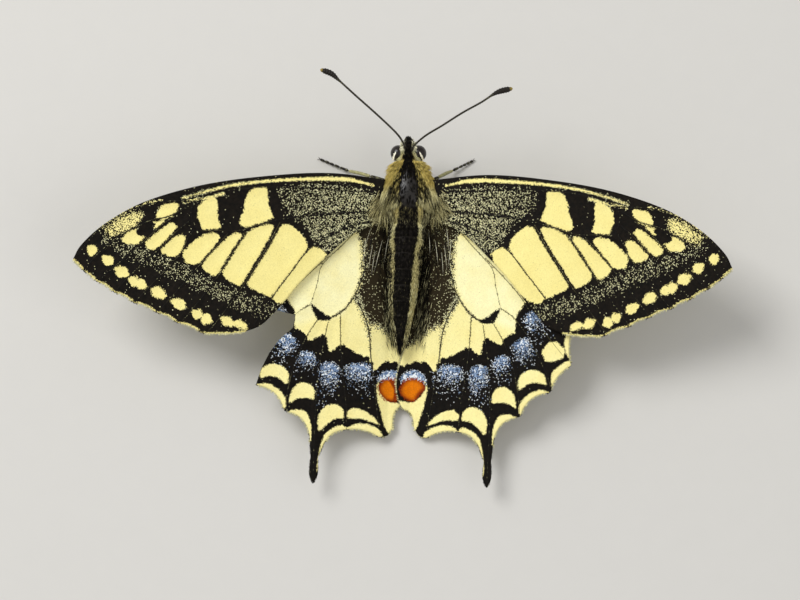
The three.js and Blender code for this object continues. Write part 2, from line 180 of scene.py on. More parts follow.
GOLD_LINES = [  # path, half width
    ([(19.3, -3.5), (22, -4.3), (24.2, -4.85)], 0.28),
    ([(27, -4.9), (30, -5.8), (32.8, -7.4), (34.8, -8.9)], 0.22),
]
BASAL_DUST = [(-1.2, -2.2), (0.8, -1.6), (6, -1.2), (12.6, -1.9), (12.2, -4.6), (10.6, -6.0),
              (9.2, -6.6), (7.8, -8.8), (6, -10), (1.8, -7.0), (-1.4, -5.6)]
APEX_DUST = [(29.3, -6.3), (31.4, -6.7), (34.2, -8.7), (33.4, -9.9), (31, -9.0), (29.6, -8.0)]
BAND_DUST = [(12.8, -17.6), (16.5, -16.6), (20.2, -15.4), (24.2, -13.6), (28, -12.3), (31, -11.2),
             (33.4, -9.9)]

# ------------------------------------------------------------------ hindwing markings

HIND_YELLOW = [
    (2.0, -7.2), (1.7, -10.5), (1.9, -13.2), (2.7, -15.2), (1.9, -16.0), (1.0, -17.8),
    (0.2, -18.4), (-0.8, -18.4), (-2.5, -19.7), (-4.2, -20.9), (-6.0, -22.2), (-6.0, -23.2),
    (-4.3, -23.0), (-2.8, -22.4), (-1.5, -22.6), (-0.35, -24.0), (0.1, -22.4), (2.2, -21.8),
    (4.0, -20.8), (5.5, -22.2), (6.0, -19.6), (8.1, -20.9), (8.6, -19.9), (10.1, -19.2),
    (9.9, -17.3), (11.2, -15.6), (11.6, -13.4), (10.2, -10.4), (7, -7.4), (3.6, -6.0),
]
HIND_PALE = [(2, -7), (1.7, -13), (4, -17.5), (7, -18), (10, -19), (11.5, -14), (9, -9)]
DUSTY_WEDGE = [(2.1, -15.0), (0.6, -18.6), (0.1, -22.4)]
CELL_CRESCENT = [(8.1, -16.1), (7.7, -17.1), (7.1, -18.15), (5.7, -18.1), (5.1, -17.7),
                 (6.2, -17.35), (7.0, -16.7)]
HIND_LUNULES = {
    "Rs": [(13.4, -21.7), (14.3, -20.6), (15.3, -20.4), (16.5, -21.5), (16.3, -22.6),
           (14.1, -23.1)],
    "M1": [(10.6, -26.6), (10.5, -25.0), (11.4, -24.1), (12.7, -23.9), (13.9, -24.5), (14.3, -26.0),
           (13.1, -25.5), (11.9, -25.6)],
    "M2": [(7.2, -28.1), (7.2, -26.8), (7.9, -26.1), (9.0, -26.0), (10.0, -26.8), (10.5, -28.9),
           (9.4, -28.1), (8.3, -27.9)],
    "M3": [(3.3, -30.2), (3.4, -29.1), (4.2, -28.5), (5.1, -28.5), (6.1, -29.1), (6.7, -30.4),
           (6.5, -32.2), (5.6, -31.2), (4.5, -30.3)],
    "CuA1": [(-1.5, -30.7), (0.1, -29.3), (1.4, -28.8), (2.4, -28.8), (3.0, -29.6), (2.8, -30.2),
             (1.0, -30.0), (-0.2, -30.4)],
    "Sc margin": [(16.3, -20.6), (16.9, -19.2), (17.8, -19.2), (17.9, -23.1), (17.2, -22.9),
                  (16.6, -21.8)],
    "Rs margin": [(14.8, -25.8), (14.8, -24.4), (15.6, -23.6), (16.8, -22.9), (17.8, -23.1),
                  (17.3, -24.2), (16.2, -25.6), (15.3, -26.8)],
    "M1 margin": [(10.7, -29.2), (10.8, -28.2), (11.5, -27.3), (12.4, -26.7), (13.4, -26.4),
                  (14.8, -26.8), (13.8, -27.9), (12.4, -28.4), (11.3, -30.0)],
    "M2 margin": [(7.35, -33.4), (7.45, -31.4), (7.8, -30.1), (8.5, -29.5), (9.7, -29.5),
                  (11.0, -30.1), (10.2, -31.0), (9.0, -31.0), (8.3, -31.9), (7.9, -33.4)],
    "M3 margin": [(2.8, -31.4), (3.7, -31.0), (4.9, -31.6), (5.8, -32.6), (6.2, -34.0),
                  (6.5, -36.5), (6.3, -37.6), (5.7, -36.5), (5.2, -34.8), (4.2, -33.4),
                  (3.0, -32.4)],
    "CuA1 margin": [(-1.9, -32.2), (-1.2, -31.2), (0.1, -30.7), (1.6, -30.7), (2.6, -31.2),
                    (3.2, -32.1), (1.6, -32.5), (-0.4, -32.6)],
}
ANAL_STRIP = [(-1.5, -24.7), (-0.9, -25.9), (-1.4, -28.3), (-2.4, -31.4), (-3.6, -31.8),
              (-3.8, -29.2), (-5.2, -28.6), (-5.6, -27.5), (-3.0, -27.7), (-1.8, -26.9),
              (-1.2, -25.9)]
EYESPOT = (-2.9, -26.05, 3.3, 3.0)          # middle, length, height
EYESPOT_CAP = (-2.85, -25.45, 1.85, 1.95)   # middle, half length, half height
EYESPOT_SHIFT = {"left": 0.3, "right": -0.35}
# A slanting line cuts the eyespot's lower outer side: a place on it, and the way in from it.
EYESPOT_CUT = {"left": (-0.8, -26.5), "right": (-0.95, -25.5)}
EYESPOT_CUT_IN = (-0.776, 0.632)
BLUE_SPOTS = [  # middle of the upper edge, half width, depth, direction towards the margin
    (11.9, -16.6, 1.35, 2.1, (0.45, -0.9)), (10.6, -20.0, 1.25, 2.1, (0.35, -0.94)),
    (8.1, -22.0, 1.1, 1.7, (0.2, -0.98)), (5.3, -23.1, 1.2, 2.7, (0.05, -1.0)),
    (1.6, -22.95, 1.75, 2.0, (-0.05, -1.0)),
]
HIND_VEINS = {
    "cell upper": ([(1, -5), (4, -8.3), (6.7, -11.2), (7.3, -13.6), (8, -16.2)], 0.03),
    "cell lower": ([(0.4, -7), (1.6, -12.6), (3, -15.6), (4.3, -17), (5.6, -17.9)], 0.13),
    "Rs": ([(5.5, -9.6), (10, -14.2), (13.2, -18.6), (17.3, -23.5)], 0.03),
    "M1": ([(8, -16.2), (9.9, -17.6), (12, -20.4), (14.4, -25), (14.7, -26.8)], 0.04),
    "M2": ([(7.1, -18.1), (8.4, -20.2), (9.8, -23.5), (10.6, -27.2), (10.9, -29.8)], 0.05),
    "M3": ([(5.7, -18), (6.05, -19.9), (6.7, -24), (7, -30), (6.9, -38.3)], 0.05),
    "CuA1": ([(4.2, -17), (4.05, -21), (3.6, -25), (3.05, -29), (3, -31.6)], 0.05),
    "CuA2": ([(2.1, -15.2), (0.6, -18.6), (0.1, -22.6), (-0.6, -27), (-1.3, -32.2)], 0.06),
}
VEINS = {"fore": FORE_VEINS, "hind": HIND_VEINS}
THIN_VEIN = 0.06        # a rib whose black line is narrower than this is thin and pale


# ------------------------------------------------------------------ numbers and curves

def smoothstep(low, high, value):
    part = np.clip((value - low) / (high - low), 0, 1)
    return part * part * (3 - 2 * part)


def between(start, full, fade, end, value):
    """1 from full to fade, and 0 before start and beyond end."""
    return smoothstep(start, full, value) * smoothstep(end, fade, value)


def unit(rows):
    return rows / np.maximum(np.linalg.norm(rows, axis=-1), 1e-9)[..., None]


def lengths_along(path):
    """The length of a path up to each of its points."""
    steps = np.linalg.norm(np.diff(path, axis=0), axis=1)
    return np.concatenate([[0], np.cumsum(steps)])


def place_along(path, lengths, where):
    """Points of the path at these lengths along it."""
    return np.stack([np.interp(where, lengths, row) for row in path.T], 1)


def turned(first, second, angle):
    """The way at that angle from the first way towards the second."""
    return first * np.cos(angle)[..., None] + second * np.sin(angle)[..., None]


def spline(points, steps=12):
    """A smooth curve through the points, as an array of points."""
    p = np.asarray(points, float)
    p = np.vstack([2 * p[0] - p[1], p, 2 * p[-1] - p[-2]])
    t = np.linspace(0, 1, steps, endpoint=False)[:, None]
    parts = []
    for a, b, c, d in zip(p, p[1:], p[2:], p[3:]):
        parts.append(b + 0.5 * t * (c - a + t * (2 * a - 5 * b + 4 * c - d
                                                 + t * (3 * (b - c) + d - a))))
    parts.append(p[-2:-1])
    return np.vstack(parts)


def scalloped(ends, bows, steps=10):
    """The outer margin: a shallow inward bow from each vein end to the next."""
    parts = []
    for a, b, bow in zip(ends, ends[1:], bows):
        a, b = np.array(a, float), np.array(b, float)
        chord = b - a
        inward = np.array([chord[1], -chord[0]]) / np.hypot(*chord)
        t = np.linspace(0, 1, steps, endpoint=False)[:, None]
        parts.append(a + chord * t + inward * 4 * t * (1 - t) * bow)
    parts.append(np.array([ends[-1]], float))
    return np.vstack(parts)


CORNER_CUT = 0.18       # the share of each edge that a cut corner takes


def rounded(corners):
    """A polygon with its corners cut."""
    p = np.asarray(corners, float)
    q = np.roll(p, -1, axis=0)
    start = (1 - CORNER_CUT) * p + CORNER_CUT * q
    end = CORNER_CUT * p + (1 - CORNER_CUT) * q
    return np.stack([start, end], 1).reshape(-1, 2)


def line_distance(points, path):
    """Each point's distance from an open path, and how far along the path it lies, 0 to 1."""
    path = np.asarray(path, float)
    best = np.full(len(points), np.inf)
    along = np.zeros(len(points))
    steps = np.hypot(*np.diff(path, axis=0).T)
    start = 0.0
    for a, b, step in zip(path, path[1:], steps):
        part = np.clip((points - a) @ (b - a) / max(step * step, 1e-12), 0, 1)
        gap = np.hypot(*(points - a - part[:, None] * (b - a)).T)
        near = gap < best
        best[near] = gap[near]
        along[near] = (start + part[near] * step) / steps.sum()
        start += step
    return best, along


def curve_distance(points, path, steps=6):
    """The same for the smooth curve through the path's points."""
    return line_distance(points, spline(path, steps))


def depth_inside(points, corners):
    """Distance inside a closed outline. It is negative outside."""
    corners = np.asarray(corners, float)
    gap, _ = line_distance(points, np.vstack([corners, corners[:1]]))
    inside = np.zeros(len(points), bool)
    for a, b in zip(corners, np.roll(corners, -1, axis=0)):
        crosses = (a[1] > points[:, 1]) != (b[1] > points[:, 1])
        rise = b[1] - a[1] if b[1] != a[1] else 1e-12
        reach = a[0] + (points[:, 1] - a[1]) * (b[0] - a[0]) / rise
        inside ^= crosses & (points[:, 0] < reach)
    return np.where(inside, gap, -gap)


def depth_in_field(points, corners):
    """Distance inside a coloured field, whose corners are cut."""
    return depth_inside(points, rounded(corners))


def depth_in_oval(points, middle, length, width, slant=0.0, power=2.0):
    """Distance inside an oval, which is nearer to a diamond when the power is low."""
    c, s = math.cos(slant), math.sin(slant)
    p = points - np.array(middle)
    x = (p[:, 0] * c + p[:, 1] * s) / (length / 2)
    y = (p[:, 1] * c - p[:, 0] * s) / (width / 2)
    reach = (np.abs(x) ** power + np.abs(y) ** power) ** (1 / power)
    return (1 - reach) * min(length, width) / 2


# ------------------------------------------------------------------ wing surface

def wing_height(outward, forward, pair, side):
    """Height of the wing's middle surface above the ground, before its low folds."""
    slope = math.sin(RISE[side]) * outward
    lift = TAIL_LIFT * np.maximum(0, -forward - TAIL_LIFT_START) ** 2
    height = SHOULDER[2] + slope + WING_PITCH * forward + lift
    if pair == "fore":
        return height - DROOP * np.maximum(0, outward - DROOP_START) ** 2
    fold = FOLD_DEPTH * np.exp((FOLD_START - outward) / FOLD_WIDTH)
    root = smoothstep(*ROOT_FORWARD, forward) * smoothstep(*ROOT_OUTWARD, outward)
    drop = HINDWING_DROP * (1 - (1 - ROOT_DROP_SHARE) * root)
    height = height - np.minimum(fold, FOLD_LIMIT) - drop
    if side == "right":     # its inner margin laps over the left wing's
        height = height + LAP_STEP * smoothstep(*LAP_OUTWARD, outward)
        height = height + LAP_SLOPE * np.clip(LAP_SLOPE_START - outward, 0, 2)
    return height


def wing_place(flat, pair, side):
    """Where points of the flat wing lie in the frame, in mm."""
    turn = TURN[pair, side]
    u, v = (np.asarray(flat, float) * SIZE[pair, side]).T
    outward = u * math.cos(turn) - v * math.sin(turn)
    forward = u * math.sin(turn) + v * math.cos(turn)
    height = wing_height(outward, forward, pair, side)
    x = SIGN[side] * (SHOULDER[0] + outward * math.cos(RISE[side]))
    return np.stack([x, SHOULDER[1] + forward, height], 1) + ORIGIN


def outline_of(pair, side):
    """The wing's outline: its front edge, its outer margin and its inner or rear one."""
    front, rear = (FORE_FRONT, FORE_REAR) if pair == "fore" else (HIND_FRONT, HIND_REAR[side])
    return np.vstack([spline(front)[:-1], scalloped(*MARGINS[pair])[:-1], spline(rear)])


def gap_to_ribs(flat, pair):
    """Distance from the nearest rib's end at the margin."""
    ends = MARGINS[pair][0][1:-1]
    return np.min([np.hypot(*(flat - end).T) for end in ends], axis=0)


def side_stretch(flat, side):
    """The hind part of the two forewings is drawn out a little differently."""
    u, v = flat.T
    reach = 0.65 * np.clip((-v - 5) / 15, 0, 1) * np.clip((30 - u) / 10, 0, 1)
    return np.stack([u - SIGN[side] * reach, v], 1)


def ragged(flat):
    """The uneven edge of a coloured field, where scales of two colours meet, in mm."""
    u, v = flat.T
    return (0.05 * np.sin(4.7 * u + 2.1 * np.sin(3.3 * v))
            + 0.045 * np.sin(9.1 * v + 1.7 * np.sin(7.7 * u)) + 0.03 * np.sin(17 * u + 13 * v))


def fore_marks(flat, side):
    """Depths and densities of every colour over the forewing, by name."""
    p = side_stretch(flat, side)
    yellow = np.full(len(p), -9.0)
    for corners in FORE_PATCHES.values():
        yellow = np.maximum(yellow, depth_in_field(p, corners))
    yellow += ragged(p)
    for path, half in FORE_VEINS.values():
        gap, _ = curve_distance(p, path)
        yellow = np.minimum(yellow, gap - half)
    for u, v, length, width in FORE_SPOTS:
        spot = depth_in_oval(p, (u, v), SPOT_SIZE * length, SPOT_SIZE * width, SPOT_SLANT,
                             SPOT_POWER)
        yellow = np.maximum(yellow, spot + 1.2 * ragged(p))
    gap, along = curve_distance(p, COSTAL_LINE)
    taper = np.clip(1 - along, 0, 1) ** 0.7 * (0.35 + 0.65 * smoothstep(0, 0.16, along))
    yellow = np.maximum(yellow, 0.25 * taper + 0.02 - gap)
    dust = 0.5 * smoothstep(0.28, 0.1, gap) * smoothstep(0.45, 0.7, along)
    for path, width in GOLD_LINES:
        gap, _ = curve_distance(p, path)
        dust = np.maximum(dust, 0.95 * smoothstep(width, width / 3, gap))
    gold = smoothstep(0.3, 0.6, dust)
    margin, _ = line_distance(flat, scalloped(*MARGINS["fore"]))
    fringe = np.minimum(0.15 - margin, 0.5 * (gap_to_ribs(flat, "fore") - 0.2))
    yellow = np.maximum(yellow, fringe)
    basal = depth_in_field(p, BASAL_DUST)
    near = 0.33 - 0.13 * smoothstep(5, 11, p[:, 0])
    dust = np.maximum(dust, near * smoothstep(-0.3, 0.5, basal))
    apex = depth_in_field(p, APEX_DUST)
    faded = 1 - 0.4 * smoothstep(31.2, 34.0, p[:, 0])
    dust = np.maximum(dust, 0.72 * faded * smoothstep(-0.45, 0.65, apex))
    gold = np.maximum(gold, smoothstep(-0.5, 0.3, apex))
    gap, along = curve_distance(p, BAND_DUST)
    dust = np.maximum(dust, (0.155 + 0.05 * np.sin(math.pi * along)) * smoothstep(1.6, 0.3, gap))
    for path, half in FORE_VEINS.values():
        gap, _ = curve_distance(p, path)
        dust = dust * (1 - 0.75 * smoothstep(half + 0.16, half * 0.7, gap))
    dust = np.maximum(dust, 0.006)
    return {"yellow": yellow, "dust": dust, "gold": gold}


def hind_marks(p, side):
    """Depths and densities of every colour over the hindwing, by name."""
    field = depth_in_field(p, HIND_YELLOW)
    yellow = field + ragged(p)
    yellow += 0.12 * np.sin(p[:, 0] * 5.1 + p[:, 1] * 3.3) * smoothstep(2.4, 1.6, p[:, 0])
    inner = smoothstep(-1.0, 1.2, 2.2 - p[:, 0]) * smoothstep(-22.5, -18, p[:, 1])
    gap, along = curve_distance(p, DUSTY_WEDGE)
    wedge = 0.55 * np.clip(1 - along, 0, 1) ** 1.5 - gap
    yellow = np.minimum(yellow, -wedge)
    for path, half in HIND_VEINS.values():
        gap, _ = curve_distance(p, path)
        yellow = np.minimum(yellow, gap - half)
    yellow = np.minimum(yellow, -depth_in_field(p, CELL_CRESCENT))
    for corners in HIND_LUNULES.values():
        yellow = np.maximum(yellow, depth_in_field(p, corners))
    anal = p - np.array([EYESPOT_SHIFT[side], 0.0]) * smoothstep(0.5, -0.5, p[:, :1])
    yellow = np.maximum(yellow, depth_in_field(anal, ANAL_STRIP))
    orange = depth_in_oval(anal, EYESPOT[:2], *EYESPOT[2:])
    orange = np.minimum(orange, (anal - EYESPOT_CUT[side]) @ EYESPOT_CUT_IN)
    blue = np.zeros(len(p))
    dust = np.full(len(p), 0.003)
    for u, v, across, tall, (ahead_u, ahead_v) in BLUE_SPOTS:
        down = (p[:, 0] - u) * ahead_u + (p[:, 1] - v) * ahead_v
        aside = ((p[:, 1] - v) * ahead_u - (p[:, 0] - u) * ahead_v) / across
        round_top = down - 0.35 * aside ** 2
        down = np.clip(down, 0, None) / tall
        body = 0.9 * np.exp(-down ** 2.2) * np.exp(-np.abs(aside) ** 3.5)
        tail = 0.12 * np.exp(-(down / 1.9) ** 4) * np.exp(-aside ** 4)
        blue = np.maximum(blue, np.maximum(body, tail) * smoothstep(-0.15, 0.55, round_top))
    x, y = ((anal - EYESPOT_CAP[:2]) / EYESPOT_CAP[2:]).T
    cap = smoothstep(1.06, 0.86, np.hypot(x, y)) * smoothstep(-25.6, -24.7, anal[:, 1])
    blue = np.maximum(blue, 0.97 * cap)
    bright = cap * smoothstep(-1.0, -0.1, orange)
    dust = np.maximum(dust, inner * (0.05 + 0.3 * smoothstep(-1.3, 0.1, field)))
    dust = np.maximum(dust, 0.4 * smoothstep(-0.35, 0.25, wedge))
    pale = 0.3 + 0.7 * smoothstep(-0.5, 0.8, depth_inside(p, HIND_PALE))
    # Painted shade on the left eyespot's inner side, which deepens its orange.
    eyespot_deep_and_shade = smoothstep(-2.1, -3.0, p[:, 0] - 0.27 * (p[:, 1] + 25)) * (side == "left")
    return {"yellow": yellow, "dust": dust, "blue": blue, "bright": bright, "orange": orange,
            "pale": pale, "inner": inner, "eyespot_deep_and_shade": eyespot_deep_and_shade}


MARKS = {"fore": fore_marks, "hind": hind_marks}


# ------------------------------------------------------------------ body
# Sections from the head to the tail: y, x, z, half width, height above, depth below.

BODY = np.array([
    (11.2, -0.3, 8.5, 0.12, 0.12, 0.12), (11.0, -0.3, 8.5, 0.5, 0.5, 0.6),
    (10.4, -0.28, 8.45, 1.1, 1.1, 1.4), (9.5, -0.25, 8.3, 1.5, 1.5, 1.8),
    (8.6, -0.22, 8.05, 1.65, 1.6, 1.8), (7.9, -0.2, 7.8, 2.0, 1.8, 1.9),
    (6.8, -0.15, 7.4, 2.8, 2.3, 2.5), (5.2, -0.1, 7.05, 3.4, 2.7, 2.9),
    (3.2, -0.1, 6.8, 3.7, 2.8, 2.9), (1.4, -0.15, 6.5, 3.2, 2.5, 2.6),
    (0.2, -0.25, 6.25, 2.6, 2.1, 2.2), (-1.5, -0.4, 5.95, 2.35, 2.0, 2.1),
    (-4.5, -0.6, 5.5, 2.25, 2.0, 2.2), (-8, -0.8, 4.9, 1.95, 1.8, 2.0),
    (-11.5, -0.95, 4.3, 1.5, 1.45, 1.55), (-14, -1.05, 3.85, 0.98, 1.0, 1.05),
    (-15.3, -1.1, 3.62, 0.5, 0.55, 0.55), (-15.9, -1.1, 3.55, 0.12, 0.12, 0.12),
])
FRONT_Y, TAIL_Y = 11.2, -15.9
SKIN_FRONT_Y, SKIN_TAIL_Y = 10.9, -15.8
NECK_Y, WAIST_Y = 8.1, 0.1
RINGS_Y = [-1.6, -3.6, -5.6, -7.6, -9.5, -11.3, -12.9, -14.2]   # joints of the abdomen
STRIPE = np.array([  # the black stripe along the back: y, half width, from tail to head
    (-15.9, 0.1), (-13.8, 0.5), (-11.9, 0.85), (-9.7, 1.05), (-5.9, 1.12), (-2.5, 1.4),
    (-1.6, 1.6), (0.1, 1.45), (2.6, 1.32), (4.6, 1.2), (6.4, 1.02), (7.4, 0.9), (8.0, 0.82),
    (8.6, 0.74), (9.1, 0.56), (9.6, 0.5),
])
CHEST_INNER = np.array([  # how far the dull fuzz reaches out from the stripe: y, width
    (4.3, 1.5), (5.2, 1.25), (6.4, 0.65), (7.6, -0.1),
])
DARK = 0.15             # hair with less light than this is black
HEAD_X = -0.27
EYE_PLACE, EYE_RADIUS = (1.32, 9.1, 8.25), 1.03     # its x is out from the head's middle
EYE_SHAPE = (0.94, 1.0, 1.04)
PALP_ROOT, PALP_TIP = (0.4, 9.8, 6.95), (0.24, 10.85, 7.95)     # x out from the head's middle
TONGUE_MIDDLE, TONGUE_REACH = (9.75, 5.55), 0.66    # y and z of the coil, and its outer radius
FEELER_RINGS, TONGUE_RINGS = 46, 70
FEELERS = {
    "left": [(-0.6, 9.2, 9.5), (-0.66, 9.5, 9.95), (-0.97, 10.1, 10.2), (-1.42, 10.74, 10.45),
             (-2.28, 11.6, 10.8), (-4.3, 13.35, 11.5), (-6.95, 15.5, 12.5), (-9.05, 17.25, 13.3),
             (-10, 18, 13.6), (-11.35, 18.4, 14)],
    "right": [(0.28, 9.0, 9.5), (0.31, 9.3, 9.9), (0.68, 9.76, 10.1), (1.32, 10.3, 10.35),
              (2.3, 10.98, 10.65), (4.1, 11.9, 11.3), (6.65, 13.35, 12.1), (9.05, 14.5, 12.9),
              (11, 15.6, 13.5), (13, 16, 14)],
}
LEGS = {  # hip, knee, ankle, toe
    "fore_left": [(-1.5, 5.8, 4.1), (-5.4, 7.4, 3.5), (-8.4, 8.9, 0.7), (-12.2, 10.6, 0.2)],
    "fore_right": [(1.5, 5.8, 4.1), (3.4, 7.3, 3.5), (5.1, 9, 0.7), (7.7, 10.5, 0.2)],
    "mid_left": [(-1.9, 3.6, 4.1), (-6.2, 3.1, 4.4), (-8.8, 1.6, 0.7), (-12, 0.3, 0.2)],
    "mid_right": [(1.9, 3.6, 4.1), (6.2, 3.1, 4.4), (8.8, 1.6, 0.7), (12, 0.3, 0.2)],
    "hind_left": [(-1.5, 1.5, 4.0), (-4.6, -3.2, 3.8), (-6.4, -8.2, 0.7), (-7.6, -12.4, 0.2)],
    "hind_right": [(1.5, 1.5, 4.0), (4.6, -3.2, 3.8), (6.4, -8.2, 0.7), (7.6, -12.4, 0.2)],
}


def body_at(y):
    """The body's section at each y: x, z, half width, height above, depth below."""
    y = np.clip(np.asarray(y, float), TAIL_Y, FRONT_Y)
    first = np.clip(np.searchsorted(-BODY[:, 0], -y, side="right") - 1, 0, len(BODY) - 2)
    a, b = BODY[first], BODY[first + 1]
    before, after = BODY[np.maximum(first - 1, 0)], BODY[np.minimum(first + 2, len(BODY) - 1)]
    t = ((a[:, 0] - y) / (a[:, 0] - b[:, 0]))[:, None]
    start, end = (b - before) / 2, (after - a) / 2
    turn, lift = 3 * (b - a) - 2 * start - end, 2 * (a - b) + start + end
    return (a + t * (start + t * (turn + t * lift)))[:, 1:].T


def dent(y, middle, depth, reach):
    """A soft groove round the body, deepest at the middle."""
    return depth * np.exp(-((y - middle) / reach) ** 2)


def coat_depth(y):
    """How far the skin lies under the outside of the coat."""
    depth = 0.12 + 0.34 * smoothstep(-0.6, 1.6, y) - 0.16 * smoothstep(7.4, 9.0, y)
    depth = depth + 0.35 * smoothstep(9.9, 10.9, y)
    depth = depth + dent(y, NECK_Y, 0.22, 0.45) + dent(y, WAIST_Y, 0.2, 0.5)
    return depth + sum(dent(y, ring, 0.07, 0.16) for ring in RINGS_Y)


def body_point(y, angle, grow):
    """Points on the body, moved out by grow. The angle is 0 at its right side and goes up."""
    x, z, side, up, down = body_at(y)
    reach = np.where(np.sin(angle) > 0, up, down)
    wide, tall = np.maximum(side + grow, 0.05), np.maximum(reach + grow, 0.05)
    return np.stack([x + np.cos(angle) * wide, y, z + np.sin(angle) * tall], -1)


def body_skin(y, angle):
    """Points on the skin under the coat."""
    _, _, side, _, _ = body_at(y)
    return body_point(y, angle, -np.minimum(coat_depth(y), 0.45 * side))


def place_on_body(points):
    """The y of points near the body, and their angle round it."""
    x, z, _, _, _ = body_at(points[:, 1])
    return points[:, 1], np.arctan2(points[:, 2] - z, points[:, 0] - x)


def body_marks(y, angle):
    """How light and how cream the coat is, from its place on the body."""
    _, _, side, _, _ = body_at(y)
    across = np.cos(angle) * side
    top = np.sin(angle) > 0
    gap = np.abs(across) - np.interp(y, *STRIPE.T)
    chest = smoothstep(-0.4, 0.6, y)

    # Thorax: a bright band from behind the eye to the wing's root, and dull fuzz inside it.
    band = smoothstep(-0.12, 0.12, gap - np.interp(y, *CHEST_INNER.T)) * smoothstep(3.9, 4.5, y)
    tuft = between(2.4, 2.7, 3.2, 3.6, y)
    patchy = 0.16 * np.sin(5.3 * y + 4 * np.sin(3 * angle)) * np.sin(7.1 * angle)
    on_chest = smoothstep(-0.05, 0.2, gap) * (0.3 + patchy)
    on_chest = np.maximum(on_chest, 0.94 * band)
    on_chest = np.maximum(on_chest, (0.78 + patchy) * tuft * smoothstep(0.1, 0.4, gap))
    low_line = between(0.0, 0.12, 0.35, 0.6, gap)
    rear = between(0.0, 0.15, 1.2, 2.4, gap)
    on_chest = np.where(y < 2.5, 0.12 + 0.3 * rear + 0.65 * low_line, on_chest)
    on_chest = np.where(y > 8.4, smoothstep(-0.05, 0.12, gap) * 0.95, on_chest)

    # Abdomen: one pale line beside the stripe, wider on the right.
    wander = 0.09 * np.sin(2.1 * y) + 0.06 * np.sin(5.3 * y + 1)
    width = np.where(across > 0, 0.46 + 0.48 * smoothstep(-3, -8, y), 0.46) + wander
    line = between(-0.1, 0.2, width - 0.15, width + 0.3, gap)
    right_line = 0.66 + 0.3 * smoothstep(-4, -1.5, y) - 0.25 * smoothstep(-11, -14, y)
    left_line = 1.0 - (0.5 * smoothstep(-1.0, -4, y) + 0.28 * smoothstep(-5, -10, y))
    on_tail = np.where(across > 0, right_line, left_line) * line + 0.16 * smoothstep(0, 0.5, gap)

    # Belly: dark rows on pale down.
    rows = 0.5 + 0.5 * np.cos(np.clip(np.abs(angle + math.pi / 2), 0, 1.3) * 9)
    belly = 0.3 + 0.65 * smoothstep(0.15, 0.4, rows)
    belly = belly * smoothstep(0.1, 0.5, -np.sin(angle))

    on_top = chest * on_chest + (1 - chest) * on_tail
    light = np.where(top, on_top, np.where(y > 0, 0.78, belly))
    dull = 0.35 * smoothstep(4.6, 3.8, y)
    waist = 0.3 * between(-3, -1, 0.6, 1.6, y)
    cream = np.where(top, (1 - chest) * 0.55 + (0.4 * tuft + dull) * chest + waist, 0.6)
    cream = cream + 0.95 * smoothstep(8.5, 9.2, y)
    return light, np.clip(cream, 0, 1)


# ------------------------------------------------------------------ making pieces

def to_frame(points):
    """From the butterfly's centre line in mm to the frame in metres."""
    return (np.asarray(points, float) + ORIGIN) * MM


def from_frame(points):
    return np.asarray(points, float) / MM - ORIGIN


def vertices_of(mesh):
    points = np.empty(len(mesh.vertices) * 3)
    mesh.vertices.foreach_get("co", points)
    return points.reshape(-1, 3)


def set_numbers(mesh, **values):
    """Numbers kept on the mesh's points for its material to read."""
    for name, numbers in values.items():
        layer = mesh.attributes.new(name, "FLOAT", "POINT")
        layer.data.foreach_set("value", np.ascontiguousarray(numbers, dtype=np.float32))


def set_bake_map(mesh, places):
    layer = mesh.uv_layers.new(name="OFBake")
    layer.data.foreach_set("uv", np.ascontiguousarray(places, dtype=np.float32).ravel())


def add_piece(name, mesh, finish, nodes=()):
    """Puts a finished mesh into the scene as a piece that rides on the body."""
    mesh.shade_smooth()
    mesh.materials.append(finish)
    piece = bpy.data.objects.new(name, mesh)
    bpy.context.scene.collection.objects.link(piece)
    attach(piece, "root")
    if nodes:
        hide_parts(*nodes)


def mesh_from(name, shape):
    mesh = bpy.data.meshes.new(name)
    shape.to_mesh(mesh)
    shape.free()
    return mesh


def add_closed_piece(name, shape, finish, nodes=()):
    """Turns the shape's faces outwards and adds it as a piece."""
    bmesh.ops.recalc_face_normals(shape, faces=shape.faces)
    add_piece(name, mesh_from(name, shape), finish, nodes)


def corners_of(mesh):
    """The point at each face corner of a mesh, and the number of corners of each face."""
    points = np.empty(len(mesh.loops), int)
    mesh.loops.foreach_get("vertex_index", points)
    totals = np.empty(len(mesh.polygons), int)
    mesh.polygons.foreach_get("loop_total", totals)
    return points, totals


POLE = 0.999999     # a ball's points beyond this height are its poles


def frames_along(path):
    """Two directions across a path at each of its points, without twist."""
    ahead = np.gradient(path, axis=0)
    ahead /= np.linalg.norm(ahead, axis=1)[:, None]
    first = np.cross(ahead[0], (0, 0, 1.0))
    if np.linalg.norm(first) < 0.1:
        first = np.cross(ahead[0], (1.0, 0, 0))
    across = [first / np.linalg.norm(first)]
    for step in ahead[1:]:
        side = across[-1] - step * (across[-1] @ step)
        across.append(side / np.linalg.norm(side))
    across = np.array(across)
    return across, np.cross(across, ahead)


def add_limb(shape, path, radius_at, sides=10, rings=40, tall=1.0, layer=None):
    """A closed round limb along a path in mm, its radius given along the way."""
    made = bmesh.ops.create_uvsphere(shape, u_segments=sides, v_segments=rings, radius=1)["verts"]
    ball = np.array([vert.co[:] for vert in made])
    along = np.arccos(np.clip(-ball[:, 2], -1, 1)) / math.pi
    ring = unit(ball[:, :2])
    ring[np.abs(ball[:, 2]) > POLE] = 0
    path = np.asarray(path, float)
    across, up = frames_along(path)
    length = lengths_along(path)
    length /= length[-1]
    centres, across, up = (place_along(rows, length, along) for rows in (path, across, up))
    radius = radius_at(along)[:, None]
    points = centres + radius * (ring[:, :1] * across + tall * ring[:, 1:] * up)
    for vert, point, part in zip(made, to_frame(points), along):
        vert.co = point
        if layer:
            vert[layer] = part
    return made


def rounded_ends(part, soft):
    """A radius factor that closes both ends of a limb roundly."""
    near = np.clip(np.minimum(part, 1 - part) / soft, 0, 1)
    return np.sqrt(1 - (1 - near) ** 2)


